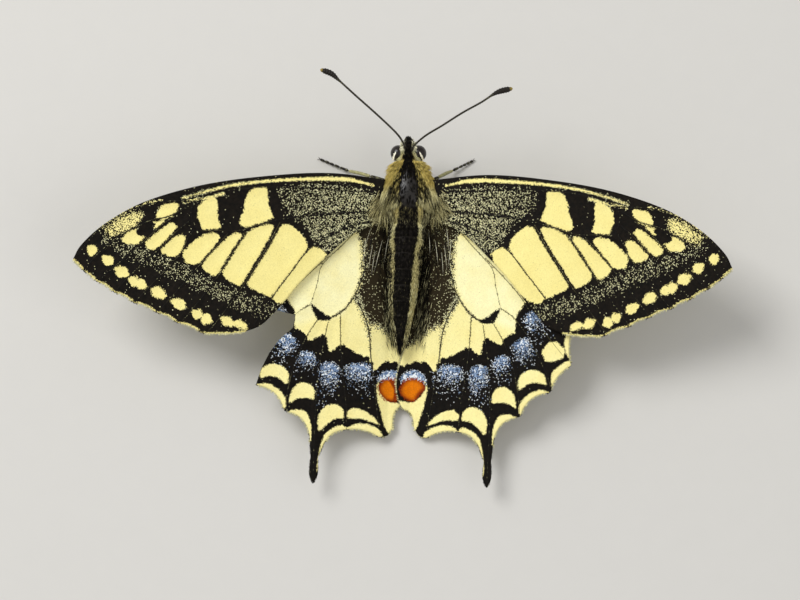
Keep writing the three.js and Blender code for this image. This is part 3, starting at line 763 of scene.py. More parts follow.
def taper(wide, narrow, soft, swell=0.0):
    """A limb's radius that goes from wide to narrow between round ends."""
    return lambda part: rounded_ends(part, soft) * (
        wide + (narrow - wide) * part + swell * np.sin(math.pi * part))


# A blade of hair: three points at its root, three half way, and its tip.
BLADE_FACES = np.array([(0, 1, 2), (0, 3, 4), (0, 4, 1), (1, 4, 5), (1, 5, 2), (2, 5, 3),
                        (2, 3, 0), (3, 6, 4), (4, 6, 5), (5, 6, 3)])
BLADE_ALONG = [0, 0, 0, 0.5, 0.5, 0.5, 1.0]
BLADE_PATCH = 0.0015 * np.array([(-1, -1), (1, -1), (0, -0.6), (-1, 0.3), (1, 0.3), (0, 0.5),
                                 (0, 1)])
BLADE_DEPTH = 0.45          # a blade's height over its flat side, as a share of its width
ROOT_DEPTH = 0.06           # how far a blade's root is sunk in the skin, mm
CLEAR_OF_FLOOR = 0.02       # mm
FRINGE_SPACING = 0.045      # mm
UPWARDS = np.array([[0.0, 0.0, 1.0]])


def add_hairs(name, roots, normals, flows, lengths, width, places, marks, finish, lift, seed,
              droop=0.85, clumps=0, pull=0.0):
    """A coat of thin three-sided blades that leave the skin and bend over along its flow."""
    rng = np.random.default_rng(seed)
    count = len(roots)
    flows = unit(flows - normals * np.sum(flows * normals, axis=1)[:, None])
    lean = (lift * rng.uniform(0.75, 1.25, count))[:, None]
    start = unit(flows + normals * lean)
    end = unit(flows + normals * lean * (1 - droop))
    length = lengths[:, None]
    middle = roots + start * length * 0.5
    tip = middle + end * length * 0.5
    if clumps:
        heads = rng.choice(count, min(clumps, count), replace=False)
        best, nearest = np.full(count, np.inf), np.zeros(count, int)
        for head in heads:
            gap = np.sum((roots - roots[head]) ** 2, axis=1)
            closer = gap < best
            best[closer], nearest[closer] = gap[closer], head
        along = np.minimum(lengths / np.maximum(lengths[nearest], 1e-6), 1.2)[:, None]
        goal = roots[nearest] + (tip[nearest] - roots[nearest]) * along
        goal_middle = roots[nearest] + (middle[nearest] - roots[nearest]) * along
        tip = tip + (goal - tip) * pull
        middle = middle + (goal_middle - middle) * pull * 0.45
    across = unit(np.cross(flows, normals) + 0.35 * rng.normal(size=(count, 3)))
    corners = []
    for centre, size in ((roots - normals * ROOT_DEPTH, 0.8 * width), (middle, width)):
        corners.append(centre - across * size / 2)
        corners.append(centre + across * size / 2)
        corners.append(centre + normals * size * BLADE_DEPTH)
    corners.append(tip)
    points = np.stack(corners, 1)
    points[:, :, 2] = np.maximum(points[:, :, 2], CLEAR_OF_FLOOR)
    each = len(BLADE_ALONG)
    faces = (BLADE_FACES[None] + each * np.arange(count)[:, None, None]).reshape(-1, 3)
    mesh = bpy.data.meshes.new(name)
    mesh.from_pydata(to_frame(points.reshape(-1, 3)), [], faces)
    mesh.update()
    spots = places[:, None, :] + BLADE_PATCH[None]
    set_bake_map(mesh, spots.reshape(-1, 2)[faces.ravel()])
    numbers = {key: np.repeat(value, each) for key, value in marks.items()}
    set_numbers(mesh, tone=np.repeat(rng.random(count), each),
                along=np.tile(BLADE_ALONG, count), **numbers)
    add_piece(name, mesh, finish)


# ------------------------------------------------------------------ finishes

def paint(red, green, blue):
    """A colour as seen on screen, 0 to 255, as the shader's own numbers."""
    return tuple(((c / 255 + 0.055) / 1.055) ** 2.4 if c > 10 else c / 255 / 12.92
                 for c in (red, green, blue))


class Number:
    """A number in a material. Sums on it add Math nodes."""

    def __init__(self, finish, socket):
        self.finish, self.socket = finish, socket

    def _math(self, operation, a, b=None):
        sockets = {0: a} if b is None else {0: a, 1: b}
        made = self.finish.node("ShaderNodeMath", {"operation": operation}, sockets)
        return Number(self.finish, made.outputs[0])

    def __add__(self, other):
        return self._math("ADD", self, other)

    __radd__ = __add__

    def __sub__(self, other):
        return self._math("SUBTRACT", self, other)

    def __rsub__(self, other):
        return self._math("SUBTRACT", other, self)

    def __mul__(self, other):
        return self._math("MULTIPLY", self, other)

    __rmul__ = __mul__

    def __lt__(self, other):
        return self._math("LESS_THAN", self, other)

    def __gt__(self, other):
        return self._math("GREATER_THAN", self, other)

    def waves(self, count):
        """That many even waves between 0 and 1, as the number goes from 0 to 1."""
        return self._math("SINE", self * (math.tau * count)) * 0.5 + 0.5

    def spread(self, contrast):
        """The number's distance from a half, times the contrast."""
        return (self - 0.5) * contrast

    def clipped(self):
        return self._math("MAXIMUM", self._math("MINIMUM", self, 1.0), 0.0)


class Finish:
    """A material built up node by node."""

    def __init__(self, name):
        self.material = bpy.data.materials.new(name)
        self.material.use_nodes = True
        self.tree = self.material.node_tree
        self.tree.nodes.clear()

    def node(self, kind, settings=None, sockets=None):
        made = self.tree.nodes.new(kind)
        for key, value in (settings or {}).items():
            setattr(made, key, value)
        for key, value in (sockets or {}).items():
            if isinstance(value, Number):
                value = value.socket
            if isinstance(value, bpy.types.NodeSocket):
                self.tree.links.new(value, made.inputs[key])
            elif isinstance(value, Color) and made.inputs[key].type == "RGBA":
                made.inputs[key].default_value = (*value, 1)
            else:
                made.inputs[key].default_value = value
        return made

    def number(self, name):
        """A number kept on the mesh's points."""
        made = self.node("ShaderNodeAttribute", {"attribute_name": name})
        return Number(self, made.outputs["Fac"])

    def place(self):
        return self.node("ShaderNodeTexCoord").outputs["Object"]

    def noise(self, size, where=None):
        """Cloudy noise whose lumps are about that many mm across."""
        sockets = {"Vector": where or self.place(), "Scale": 1 / (size * MM), "Detail": 3.0}
        return Number(self, self.node("ShaderNodeTexNoise", None, sockets).outputs["Fac"])

    def cells(self, size, where=None):
        """Cells that many mm across: three random numbers for each, and how far out in it."""
        sockets = {"Vector": where or self.place(), "Scale": 1 / (size * MM)}
        made = self.node("ShaderNodeTexVoronoi", {"feature": "F1"}, sockets)
        parts = self.node("ShaderNodeSeparateColor", None, {"Color": made.outputs["Color"]})
        return [Number(self, socket) for socket in (*parts.outputs, made.outputs["Distance"])]

    def stretched(self, scale):
        """Object coordinates drawn out, so that a pattern is finer one way than another."""
        sockets = {"Vector": self.place(), "Scale": scale}
        return self.node("ShaderNodeMapping", None, sockets).outputs["Vector"]

    def mixed(self, factor, first, second):
        settings = {"data_type": "RGBA", "blend_type": "MIX", "clamp_factor": True}
        sockets = {0: factor, 6: first, 7: second}
        return self.node("ShaderNodeMix", settings, sockets).outputs[2]

    def shaded(self, colour, amount):
        """A colour made lighter or darker by a number near 1."""
        settings = {"operation": "SCALE"}
        return self.node("ShaderNodeVectorMath", settings, {0: colour, 3: amount}).outputs[0]

    def bumped(self, height, depth, strength):
        """A surface direction from a height between 0 and 1 that is worth depth mm."""
        sockets = {"Height": height, "Distance": depth * MM, "Strength": strength}
        return self.node("ShaderNodeBump", None, sockets).outputs["Normal"]

    def surface(self, **sockets):
        named = {key.replace("_", " "): value for key, value in sockets.items()}
        shader = self.node("ShaderNodeBsdfPrincipled", None, named)
        surface = {"Surface": shader.outputs["BSDF"]}
        self.node("ShaderNodeOutputMaterial", None, surface)
        return self.material


def wing_finish(colours, sizes, name, hind):
    """Powdery scales: every scale is one colour, which the wing's markings choose by chance."""
    f = Finish(name)
    one, two, three, height = f.cells(sizes.scale_size)
    _, four, five, _ = f.cells(sizes.scale_size * 1.9)
    cloud = f.noise(2.4)
    fine = f.noise(0.5)
    powder = 0.2 + 0.7 * f.number("inner") if hind else 0.2
    edge = f.number("yellow") + one.spread(powder) + fine.spread(0.18)
    is_yellow = (edge * 14 + 0.5).clipped()
    is_dust = two < f.number("dust") + f.number("under") * 0.3
    ivory = f.mixed(three, colours.dust, colours.dust_light)
    dark = f.mixed((fine - 0.35) * 1.2, colours.black, colours.brown_black)
    if hind:
        dark = f.mixed(f.number("inner"), f.shaded(dark, 0.72), colours.brown)
    else:
        ivory = f.mixed(f.number("gold"), ivory, colours.yellow)
    ground = f.mixed(is_dust, dark, ivory)
    yellow = colours.yellow
    if hind:
        yellow = f.mixed(f.number("pale"), yellow, colours.yellow_pale)
        is_blue = three < f.number("blue")
        sky = f.mixed(five, colours.blue, colours.blue_light)
        rare = f.number("blue") * 0.45 + 0.38 - f.number("bright") * 0.4
        sky = f.mixed(four > rare, sky, colours.blue_white)
        ground = f.mixed(is_blue, ground, sky)
    # Painted shade: the yellow is mixed deeper beside the ribs by the fold number. The cloud's
    # deeper patches are the scales' own tone.
    deeper_and_rib_shade = (cloud - 0.35) * 0.9 + f.number("fold") * (0.1 if hind else 0.18)
    yellow = f.mixed(deeper_and_rib_shade, yellow, colours.yellow_deep_and_shade)
    yellow = f.shaded(yellow, 0.93 + 0.14 * two)
    stray = (three > 0.985) * (four > 0.4)
    yellow = f.mixed(stray * 0.45, yellow, colours.dust)
    colour = f.mixed(is_yellow, ground, yellow)
    if hind:
        glow = f.number("orange") * 6 + one.spread(2.6) + fine.spread(1.5) + 0.5
        # Deeper orange at the eyespot's edges and in random patches, plus painted shade on the left
        # eyespot's inner side.
        eyespot_deep_and_shade = (0.5 - f.number("orange")) * 2.2 + (cloud - 0.4) * 1.6 + f.number("eyespot_deep_and_shade") * 3
        amber = f.mixed(eyespot_deep_and_shade, colours.orange, colours.orange_deep_and_shade)
        colour = f.mixed(glow.clipped(), colour, f.shaded(amber, 0.85 + 0.3 * two))
    rows = (1 - height * 1.6) * 0.6 + fine * 0.4
    return f.surface(Base_Color=colour, Roughness=0.62 + 0.2 * two, Specular_IOR_Level=0.08,
                     Normal=f.bumped(rows, 0.02, 0.5))


def coat_finish(colours, name="coat"):
    """Hair: black, ochre or cream from its place, each hair a little different."""
    f = Finish(name)
    tone, along = f.number("tone"), f.number("along")
    light, cream = f.number("light"), f.number("cream")
    warm = f.mixed(tone, colours.ochre, colours.ochre_light)
    fair = f.mixed(tone, colours.cream, colours.cream_light)
    pale = f.mixed(cream, warm, fair)
    pale = f.mixed((cream - 1) * 2.5, pale, colours.white_hair)
    dark = f.shaded(f.mixed(tone * 0.4, colours.black, colours.brown_black), 0.6)
    mask = (light.spread(2.2) + tone.spread(1.4) + 0.5).clipped()
    shade = 0.74 + 0.42 * along + f.noise(0.4).spread(0.3) + (cream - 0.6).clipped() * 0.4
    colour = f.shaded(f.mixed(mask, dark, pale), shade)
    return f.surface(Base_Color=colour, Roughness=0.42 + 0.2 * tone, Specular_IOR_Level=0.08,
                     Normal=f.bumped(f.noise(0.06), 0.01, 0.4))


def skin_finish(colours):
    """Black cuticle under the coat, with the coat's markings in its short down."""
    f = Finish("skin")
    light, cream = f.number("light"), f.number("cream")
    fuzz = f.noise(0.12, where=f.stretched((1, 0.35, 1)))
    pale = f.mixed(cream, colours.ochre, colours.cream)
    dark = f.mixed(fuzz, colours.black, colours.brown_black)
    mask = (light.spread(2.2) + fuzz.spread(2.4) + 0.4).clipped()
    colour = f.shaded(f.mixed(mask, dark, pale), 0.35 + 0.8 * fuzz)
    bare = f.number("bare")
    return f.surface(Base_Color=colour, Roughness=0.6 - 0.25 * bare, Specular_IOR_Level=0.12,
                     Coat_Weight=bare * 0.7, Coat_Roughness=0.3, Normal=f.bumped(fuzz, 0.05, 0.6))


def vein_finish(colours):
    """Wing ribs: dark, with a little dust of scales."""
    f = Finish("veins")
    one, two, _, _ = f.cells(0.11)
    tint = f.mixed(f.number("faint"), colours.black, colours.olive)
    colour = f.mixed((two < 0.08) * 0.6, f.shaded(tint, 0.8 + 0.4 * one), colours.dust)
    return f.surface(Base_Color=colour, Roughness=0.55 + 0.15 * one, Specular_IOR_Level=0.15,
                     Normal=f.bumped(f.noise(0.08), 0.02, 0.5))


def eye_finish(colours):
    """Glossy dark brown with fine facets."""
    f = Finish("eye")
    _, _, _, height = f.cells(0.055)
    cloud = f.noise(0.5)
    colour = f.mixed(cloud, colours.eye, colours.eye_light)
    return f.surface(Base_Color=colour, Roughness=0.3 + 0.1 * cloud, Specular_IOR_Level=0.25,
                     Coat_Weight=0.3 + 0.1 * cloud, Coat_Roughness=0.06,
                     Normal=f.bumped(1 - height, 0.012, 0.5))


def feeler_finish(colours):
    """Ringed black cuticle with white scales under each ring and before the club."""
    f = Finish("feelers")
    along = f.number("along")
    ring = along.waves(FEELER_RINGS)
    pale = (along * 6 - 4.35).clipped() * ((0.835 - along) * 22).clipped()
    grain = f.noise(0.1)
    rim = (ring > 0.8) * (0.12 + pale * 0.7) * (along < 0.84)
    dark = f.mixed(grain, colours.black, colours.brown_black)
    colour = f.mixed(rim * (grain * 1.6).clipped(), dark, colours.cream)
    tip = ((along - 0.975) * 60).clipped()
    colour = f.mixed(tip * 0.6, colour, colours.ochre)
    return f.surface(Base_Color=colour, Roughness=0.38 + 0.25 * grain, Specular_IOR_Level=0.25,
                     Normal=f.bumped(ring * 0.8 + grain * 0.2, 0.05, 0.6))


def leg_finish(colours):
    """Black legs whose shins carry cream scales on top."""
    f = Finish("legs")
    pale, grain = f.number("pale"), f.noise(0.15)
    one, two, _, _ = f.cells(0.12, f.stretched((1, 1, 0.6)))
    dark = f.mixed(grain, colours.black, colours.brown_black)
    mask = (pale.spread(2) + one.spread(1.2) + 0.5).clipped()
    colour = f.mixed(mask, dark, f.shaded(colours.cream, 0.75 + 0.35 * two))
    return f.surface(Base_Color=colour, Roughness=0.4 + 0.3 * grain, Specular_IOR_Level=0.25,
                     Normal=f.bumped(one * 0.5 + grain * 0.5, 0.02, 0.6))


def trunk_finish(colours):
    """Amber-brown rings of the coiled tongue."""
    f = Finish("tongue")
    ring = f.number("along").waves(TONGUE_RINGS)
    colour = f.mixed(ring, colours.eye, colours.amber)
    return f.surface(Base_Color=colour, Roughness=0.3 + 0.2 * ring,
                     Normal=f.bumped(ring, 0.03, 0.5))


def floor_finish(colours):
    f = Finish("floor")
    grain = f.noise(3.0)
    colour = f.shaded(colours.floor, 0.985 + 0.03 * grain)
    return f.surface(Base_Color=colour, Roughness=0.8 + 0.1 * grain)


# ------------------------------------------------------------------ settings

def colour_setting(name, description, value):
    return bpy.props.FloatVectorProperty(name=name, description=description, subtype="COLOR",
                                         size=3, min=0, max=1, default=value)


def length_setting(name, description, value):
    """A length, given here in mm."""
    return bpy.props.FloatProperty(name=name, description=description, default=value * MM,
                                   min=0.0, unit="LENGTH", precision=5)


def count_setting(name, description, value):
    return bpy.props.IntProperty(name=name, description=description, default=value, min=100)


class ButterflyColours(bpy.types.PropertyGroup):
    """Colours of the scales, the coat and the horny parts."""
    black: colour_setting("Black", "Black scales and hair", paint(16, 14, 11))
    brown_black: colour_setting("Brown black", "Worn black scales and hair", paint(38, 31, 23))
    yellow: colour_setting("Yellow", "Yellow scales", paint(244, 231, 152))
    # Deep yellow is the scales' own deeper tone, and also painted shade beside the wing's ribs.
    yellow_deep_and_shade: colour_setting("Deep yellow", "Yellow scales in the folds", paint(232, 214, 128))
    yellow_pale: colour_setting("Pale yellow", "Yellow of the hindwing's cell",
                                paint(248, 243, 190))
    dust: colour_setting("Dust", "Single pale scales on black", paint(172, 168, 122))
    dust_light: colour_setting("Light dust", "Palest single scales on black", paint(228, 225, 180))
    brown: colour_setting("Brown", "Scales of the inner margin", paint(42, 35, 21))
    blue: colour_setting("Blue", "Blue scales", paint(88, 112, 148))
    blue_light: colour_setting("Light blue", "Lighter blue scales", paint(146, 168, 196))
    blue_white: colour_setting("Blue white", "Whitish scales in the blue", paint(228, 234, 238))
    orange: colour_setting("Orange", "Eyespot", paint(213, 114, 3))
    # Deep orange is the eyespot's deeper edge, and also painted shade in the left eyespot.
    orange_deep_and_shade: colour_setting("Deep orange", "Eyespot in its darker places", paint(136, 50, 5))
    ochre: colour_setting("Ochre", "Hair of the shoulders", paint(186, 162, 78))
    ochre_light: colour_setting("Light ochre", "Lighter hair of the shoulders",
                                paint(234, 214, 128))
    cream: colour_setting("Cream", "Pale hair", paint(172, 168, 120))
    cream_light: colour_setting("Light cream", "Palest hair", paint(236, 231, 184))
    white_hair: colour_setting("White hair", "Hair round the eyes", paint(254, 250, 230))
    olive: colour_setting("Olive", "Thin veins on yellow", paint(112, 104, 60))
    eye: colour_setting("Eye", "Dark brown of the eyes", paint(13, 9, 7))
    eye_light: colour_setting("Light eye", "Lighter brown of the eyes", paint(32, 23, 17))
    amber: colour_setting("Amber", "The coiled tongue", paint(120, 74, 30))
    floor: colour_setting("Floor", "The plain floor", paint(205, 203, 198))


class ButterflySizes(bpy.types.PropertyGroup):
    """Sizes, and numbers of hairs."""
    grid: length_setting("Grid", "Spacing of the wing's points", 0.16)
    wing_thickness: length_setting("Wing thickness", "Thickness of a wing", 0.12)
    scale_size: length_setting("Scale size", "Width of a wing scale", 0.1)
    vein_width: length_setting("Vein width", "Half width of a rib at its base", 0.085)
    fringe_length: length_setting("Fringe", "Length of the margin's scales", 0.42)
    chest_hairs: count_setting("Chest hairs", "Hairs on the thorax", 19000)
    tail_hairs: count_setting("Abdomen hairs", "Hairs on the abdomen", 15000)
    head_hairs: count_setting("Head hairs", "Hairs on the head", 6000)
    base_hairs: count_setting("Wing base hairs", "Hairs over the roots of one side's wings", 1500)


# ------------------------------------------------------------------ wings

MAP_CORNER = {"fore": (-2.2, -21.0), "hind": (-5.5, -39.6)}     # of a bake map, mm
MAP_SIZE = {"fore": (41.0, 44.8041237), "hind": (48.0, 38.0)}
GRID_MARGIN = 0.3           # how far the grid reaches past the outline, mm


def wing_depth(flat, pair, side):
    """Distance inside the wing's edge. It is negative outside."""
    depth = depth_inside(flat, outline_of(pair, side))
    if (pair, side) == ("hind", "left"):
        depth = np.minimum(depth, -depth_inside(flat, TEAR))
    return depth


def flat_of(points, pair, side):
    """The flat wing coordinates of points in the frame."""
    p = from_frame(points)
    outward = (SIGN[side] * p[:, 0] - SHOULDER[0]) / math.cos(RISE[side])
    forward = p[:, 1] - SHOULDER[1]
    turn = TURN[pair, side]
    u = outward * math.cos(turn) + forward * math.sin(turn)
    v = forward * math.cos(turn) - outward * math.sin(turn)
    return np.stack([u, v], 1) / SIZE[pair, side]


def rib_fold(flat, pair):
    """Low folds between the ribs: 1 on a rib, and 0 away from it."""
    gaps = [curve_distance(flat, path, 4)[0] for path, _ in VEINS[pair].values()]
    return np.exp(-(np.min(gaps, axis=0) / RIB_REACH) ** 2)


def wing_surface(flat, pair, side):
    """Where points of the flat wing lie in the frame with its folds, in mm."""
    points = wing_place(flat, pair, side)
    points[:, 2] += RIB_HEIGHT * rib_fold(flat, pair) - SINK
    return points


def wing_map(flat, under, pair):
    """The wing laid flat on its bake map, the under side in a half of its own."""
    across, along = ((flat - MAP_CORNER[pair]) / MAP_SIZE[pair]).T
    half = np.where(under, 0.5, 0.0)
    if pair == "fore":
        return np.stack([across, half + along], 1)
    return np.stack([half + across, along], 1)


def to_edge(flat, pair, side):
    """Moves points near the wing's edge onto it."""
    step = 1e-3
    for _ in range(4):
        depth = wing_depth(flat, pair, side)
        slope = np.stack([wing_depth(flat + way, pair, side) - depth
                          for way in ((step, 0), (0, step))], 1) / step
        slope /= np.maximum(np.linalg.norm(slope, axis=1), 0.3)[:, None]
        flat = flat - slope * depth[:, None]
    return flat


def make_wing(pair, side, sizes, finish):
    """A grid cut to the wing's outline, bent to its surface and given its thickness."""
    corners = outline_of(pair, side)
    low, high = corners.min(axis=0) - GRID_MARGIN, corners.max(axis=0) + GRID_MARGIN
    cells = np.ceil((high - low) / sizes.grid).astype(int)
    shape = bmesh.new()
    bmesh.ops.create_grid(shape, x_segments=int(cells[0]), y_segments=int(cells[1]), size=1)
    place = lambda rows: low + (rows + 1) / 2 * (high - low)
    centres = place(np.array([face.calc_center_median()[:2] for face in shape.faces]))
    outside = wing_depth(centres, pair, side) < 0.3 * sizes.grid
    cut = [face for face, out in zip(shape.faces[:], outside) if out]
    bmesh.ops.delete(shape, geom=cut, context="FACES")
    verts = shape.verts[:]
    flat = place(np.array([vert.co[:2] for vert in verts]))
    rim = np.array([vert.is_boundary for vert in verts])
    flat[rim] = to_edge(flat[rim], pair, side)
    for vert, point in zip(verts, wing_surface(flat, pair, side) * MM):
        vert.co = point
    bmesh.ops.recalc_face_normals(shape, faces=shape.faces)
    if sum(face.normal.z for face in shape.faces) < 0:
        bmesh.ops.reverse_faces(shape, faces=shape.faces)
    for vert in shape.verts:
        vert.co.z += sizes.wing_thickness * MM / 2
    bmesh.ops.solidify(shape, geom=shape.faces[:], thickness=sizes.wing_thickness * MM)
    name = f"wing_{pair}_{side}"
    mesh = mesh_from(f"{name}_scales", shape)
    placed = vertices_of(mesh)
    flat = flat_of(placed, pair, side)
    under = placed[:, 2] / MM < wing_surface(flat, pair, side)[:, 2]
    # The fold number also paints shade on the yellow beside the ribs.
    set_numbers(mesh, under=under, fold=rib_fold(flat, pair), **MARKS[pair](flat, side))
    loops, totals = corners_of(mesh)
    owner = np.repeat(np.arange(len(totals)), totals)
    low_share = np.bincount(owner, under[loops]) / totals
    set_bake_map(mesh, wing_map(flat[loops], (low_share > 0.9)[owner], pair))
    add_piece(mesh.name, mesh, finish, [name])


def make_veins(pair, side, sizes, finish):
    """Ribs that stand a little above and below the wing."""
    shape = bmesh.new()
    layer = shape.verts.layers.float.new("faint")
    for path, half in VEINS[pair].values():
        flat = spline(path, 8)
        flat = flat[wing_depth(flat, pair, side) > 0.08]
        if pair == "fore":      # the markings' stretch, undone
            flat = side_stretch(flat, "right" if side == "left" else "left")
        points = wing_surface(flat, pair, side) - ORIGIN
        thin = half < THIN_VEIN
        thick = sizes.vein_width * (0.75 if thin else 1.0)
        on_yellow = smoothstep(-half - 0.3, -half - 0.05, MARKS[pair](flat, side)["yellow"])
        made = add_limb(shape, points, taper(thick, 0.75 * thick, 0.01), sides=6,
                        rings=max(12, len(points)), tall=1.55, layer=layer)
        length = lengths_along(points)
        pale = on_yellow * (0.9 if pair == "hind" and thin else 0.2)
        for vert in made:
            vert[layer] = float(np.interp(vert[layer], length / length[-1], pale))
    name = f"veins_{pair}_{side}"
    add_piece(name, mesh_from(name, shape), finish)


def make_fringe(pair, side, sizes, finish):
    """Scales that stand out from the wing's outer margin."""
    rng = np.random.default_rng(11 if pair == "fore" else 12)
    line = scalloped(*MARGINS[pair], 14)
    if pair == "hind":
        line = np.vstack([line, spline(HIND_REAR[side])[1:-20]])
    length = lengths_along(line)
    where = np.sort(rng.uniform(0, length[-1], int(length[-1] / FRINGE_SPACING)))
    flat = place_along(line, length, where)
    ahead = unit(place_along(line, length, where + 0.05) - flat)
    outward = np.stack([-ahead[:, 1], ahead[:, 0]], 1)
    test = depth_inside(flat + 0.1 * outward, outline_of(pair, side)) > 0
    outward[test] *= -1
    kept = wing_depth(flat - 0.12 * outward, pair, side) > 0.02
    flat, outward = flat[kept], outward[kept]
    count = len(flat)
    roots = wing_place(flat - 0.1 * outward, pair, side) - ORIGIN
    tips = wing_place(flat + 0.5 * outward, pair, side) - ORIGIN
    flows = unit(tips - roots) + 0.1 * rng.normal(size=(count, 3))
    gaps = gap_to_ribs(flat, pair)
    on_tail = (flat[:, 1] < -33.6) & (flat[:, 0] > 5.2) & (pair == "hind")
    light = smoothstep(0.25, 0.6, gaps) * (1 - on_tail)
    if pair == "hind":
        light = np.where(flat[:, 0] < -2.0, 0.75, light)
    lengths = sizes.fringe_length * rng.uniform(0.6, 1.1, count) * np.where(on_tail, 0.6, 1)
    lengths *= 0.45 + 0.55 * smoothstep(0.1, 0.5, gaps)
    marks = {"light": light, "cream": np.ones(count)}
    roots[:, 2] += rng.uniform(-0.04, 0.04, count)
    add_hairs(f"fringe_{pair}_{side}", roots, UPWARDS, flows, lengths, 0.075,
              wing_map(flat, False, pair), marks, finish, lift=0.05, seed=21)


# ------------------------------------------------------------------ body and coat

RIM_HAIRS, PALP_HAIRS = 700, 420
WING_HAIR = [  # wing, share, middle, spread, length, way, fan, light, cream
    ("fore", 0.12, (-0.8, -3.3), (0.5, 0.8), 2.2, (0.5, -0.9), 0.35, 0.42, 0.45),
    ("fore", 0.06, (-0.8, -3.3), (0.5, 0.8), 2.8, (0.5, -0.9), 0.35, 0.75, 0.7),
    ("hind", 0.12, (-0.9, -7.5), (0.6, 2.2), 1.6, (0.02, -1.0), 0.14, 0.03, 0.5),
    ("hind", 0.0045, (0.2, -7.0), (0.9, 1.2), 5.0, (0.13, -1.0), 0.1, 1.0, 1.25),
    ("hind", 0.3, (-2.1, -12.5), (0.45, 2.6), 1.5, (-0.1, -1.0), 0.12, 0.05, 0.7),
    ("hind", 0.06, (-2.0, -13.5), (0.5, 2.6), 1.7, (-0.14, -1.0), 0.12, 0.4, 0.8),
    ("hind", 0.1, (-2.4, -17.5), (0.5, 1.4), 1.8, (-0.2, -1.0), 0.12, 0.35, 0.8),
]


def skin_map(y, angle):
    """The skin slit along the belly and laid flat."""
    turn = np.mod(angle + math.pi / 2, math.tau) / math.tau
    return np.stack([0.01 + 0.98 * turn, 0.01 + 0.98 * (y - TAIL_Y) / (FRONT_Y - TAIL_Y)], -1)


def make_skin(finish):
    """One closed skin from the face to the tail's tip."""
    shape = bmesh.new()
    made = bmesh.ops.create_uvsphere(shape, u_segments=96, v_segments=260, radius=1)["verts"]
    ball = np.array([vert.co[:] for vert in made])
    part = np.arccos(np.clip(ball[:, 2], -1, 1)) / math.pi
    y = SKIN_FRONT_Y + (SKIN_TAIL_Y - SKIN_FRONT_Y) * part
    angle = np.arctan2(ball[:, 1], ball[:, 0])
    points = body_skin(y, angle)
    poles = np.abs(ball[:, 2]) > POLE
    x, z, _, _, _ = body_at(y)
    points[poles, 0], points[poles, 2] = x[poles], z[poles]
    for vert, point in zip(made, to_frame(points)):
        vert.co = point
    bmesh.ops.recalc_face_normals(shape, faces=shape.faces)
    mesh = mesh_from("body_skin", shape)
    y, angle = place_on_body(from_frame(vertices_of(mesh)))
    light, cream = body_marks(y, angle)
    bare = smoothstep(0.35, -0.1, light) * between(1.6, 2.4, 5.8, 6.6, y)
    light = light * (1 - 0.45 * smoothstep(-0.2, 0.4, y))
    set_numbers(mesh, light=light, cream=np.maximum(cream, 0.7), bare=bare)
    loops, totals = corners_of(mesh)
    places = skin_map(y[loops], angle[loops])
    starts = np.concatenate([[0], np.cumsum(totals)[:-1]])
    wide = np.maximum.reduceat(places[:, 0], starts) - np.minimum.reduceat(places[:, 0], starts)
    torn = np.repeat(wide > 0.5, totals) & (places[:, 0] < 0.5)     # faces over the map's slit
    places[torn, 0] += 0.98
    places[:, 0] = np.clip(places[:, 0], 0, 1)
    set_bake_map(mesh, places)
    add_piece("body_skin", mesh, finish, ["thorax", "abdomen", "head"])


def skin_and_normals(y, angle):
    """Points of the skin, and the ways out from it."""
    step = 1e-3
    points = body_skin(y, angle)
    ahead = body_skin(y + step, angle) - points
    around = body_skin(y, angle + step) - points
    normals = np.cross(ahead, around)
    normals /= np.linalg.norm(normals, axis=-1)[:, None]
    x, z, _, _, _ = body_at(y)
    outward = np.stack([points[:, 0] - x, 0 * y, points[:, 2] - z], 1)
    return points, normals * np.sign(np.sum(normals * outward, axis=1))[:, None]


def scattered(count, low_y, high_y, rng):
    """Places on the body, evenly over its skin."""
    y = rng.uniform(low_y, high_y, count * 3)
    girth = sum(body_at(y)[2:])
    kept = rng.random(count * 3) < girth / girth.max()
    y = y[kept][:count]
    return y, rng.uniform(-math.pi, math.pi, len(y))


def flow_on_body(y, angle, spread):
    """Backwards, and away from the middle of the back."""
    return np.stack([spread * np.cos(angle), -np.ones_like(y), np.zeros_like(y)], 1)


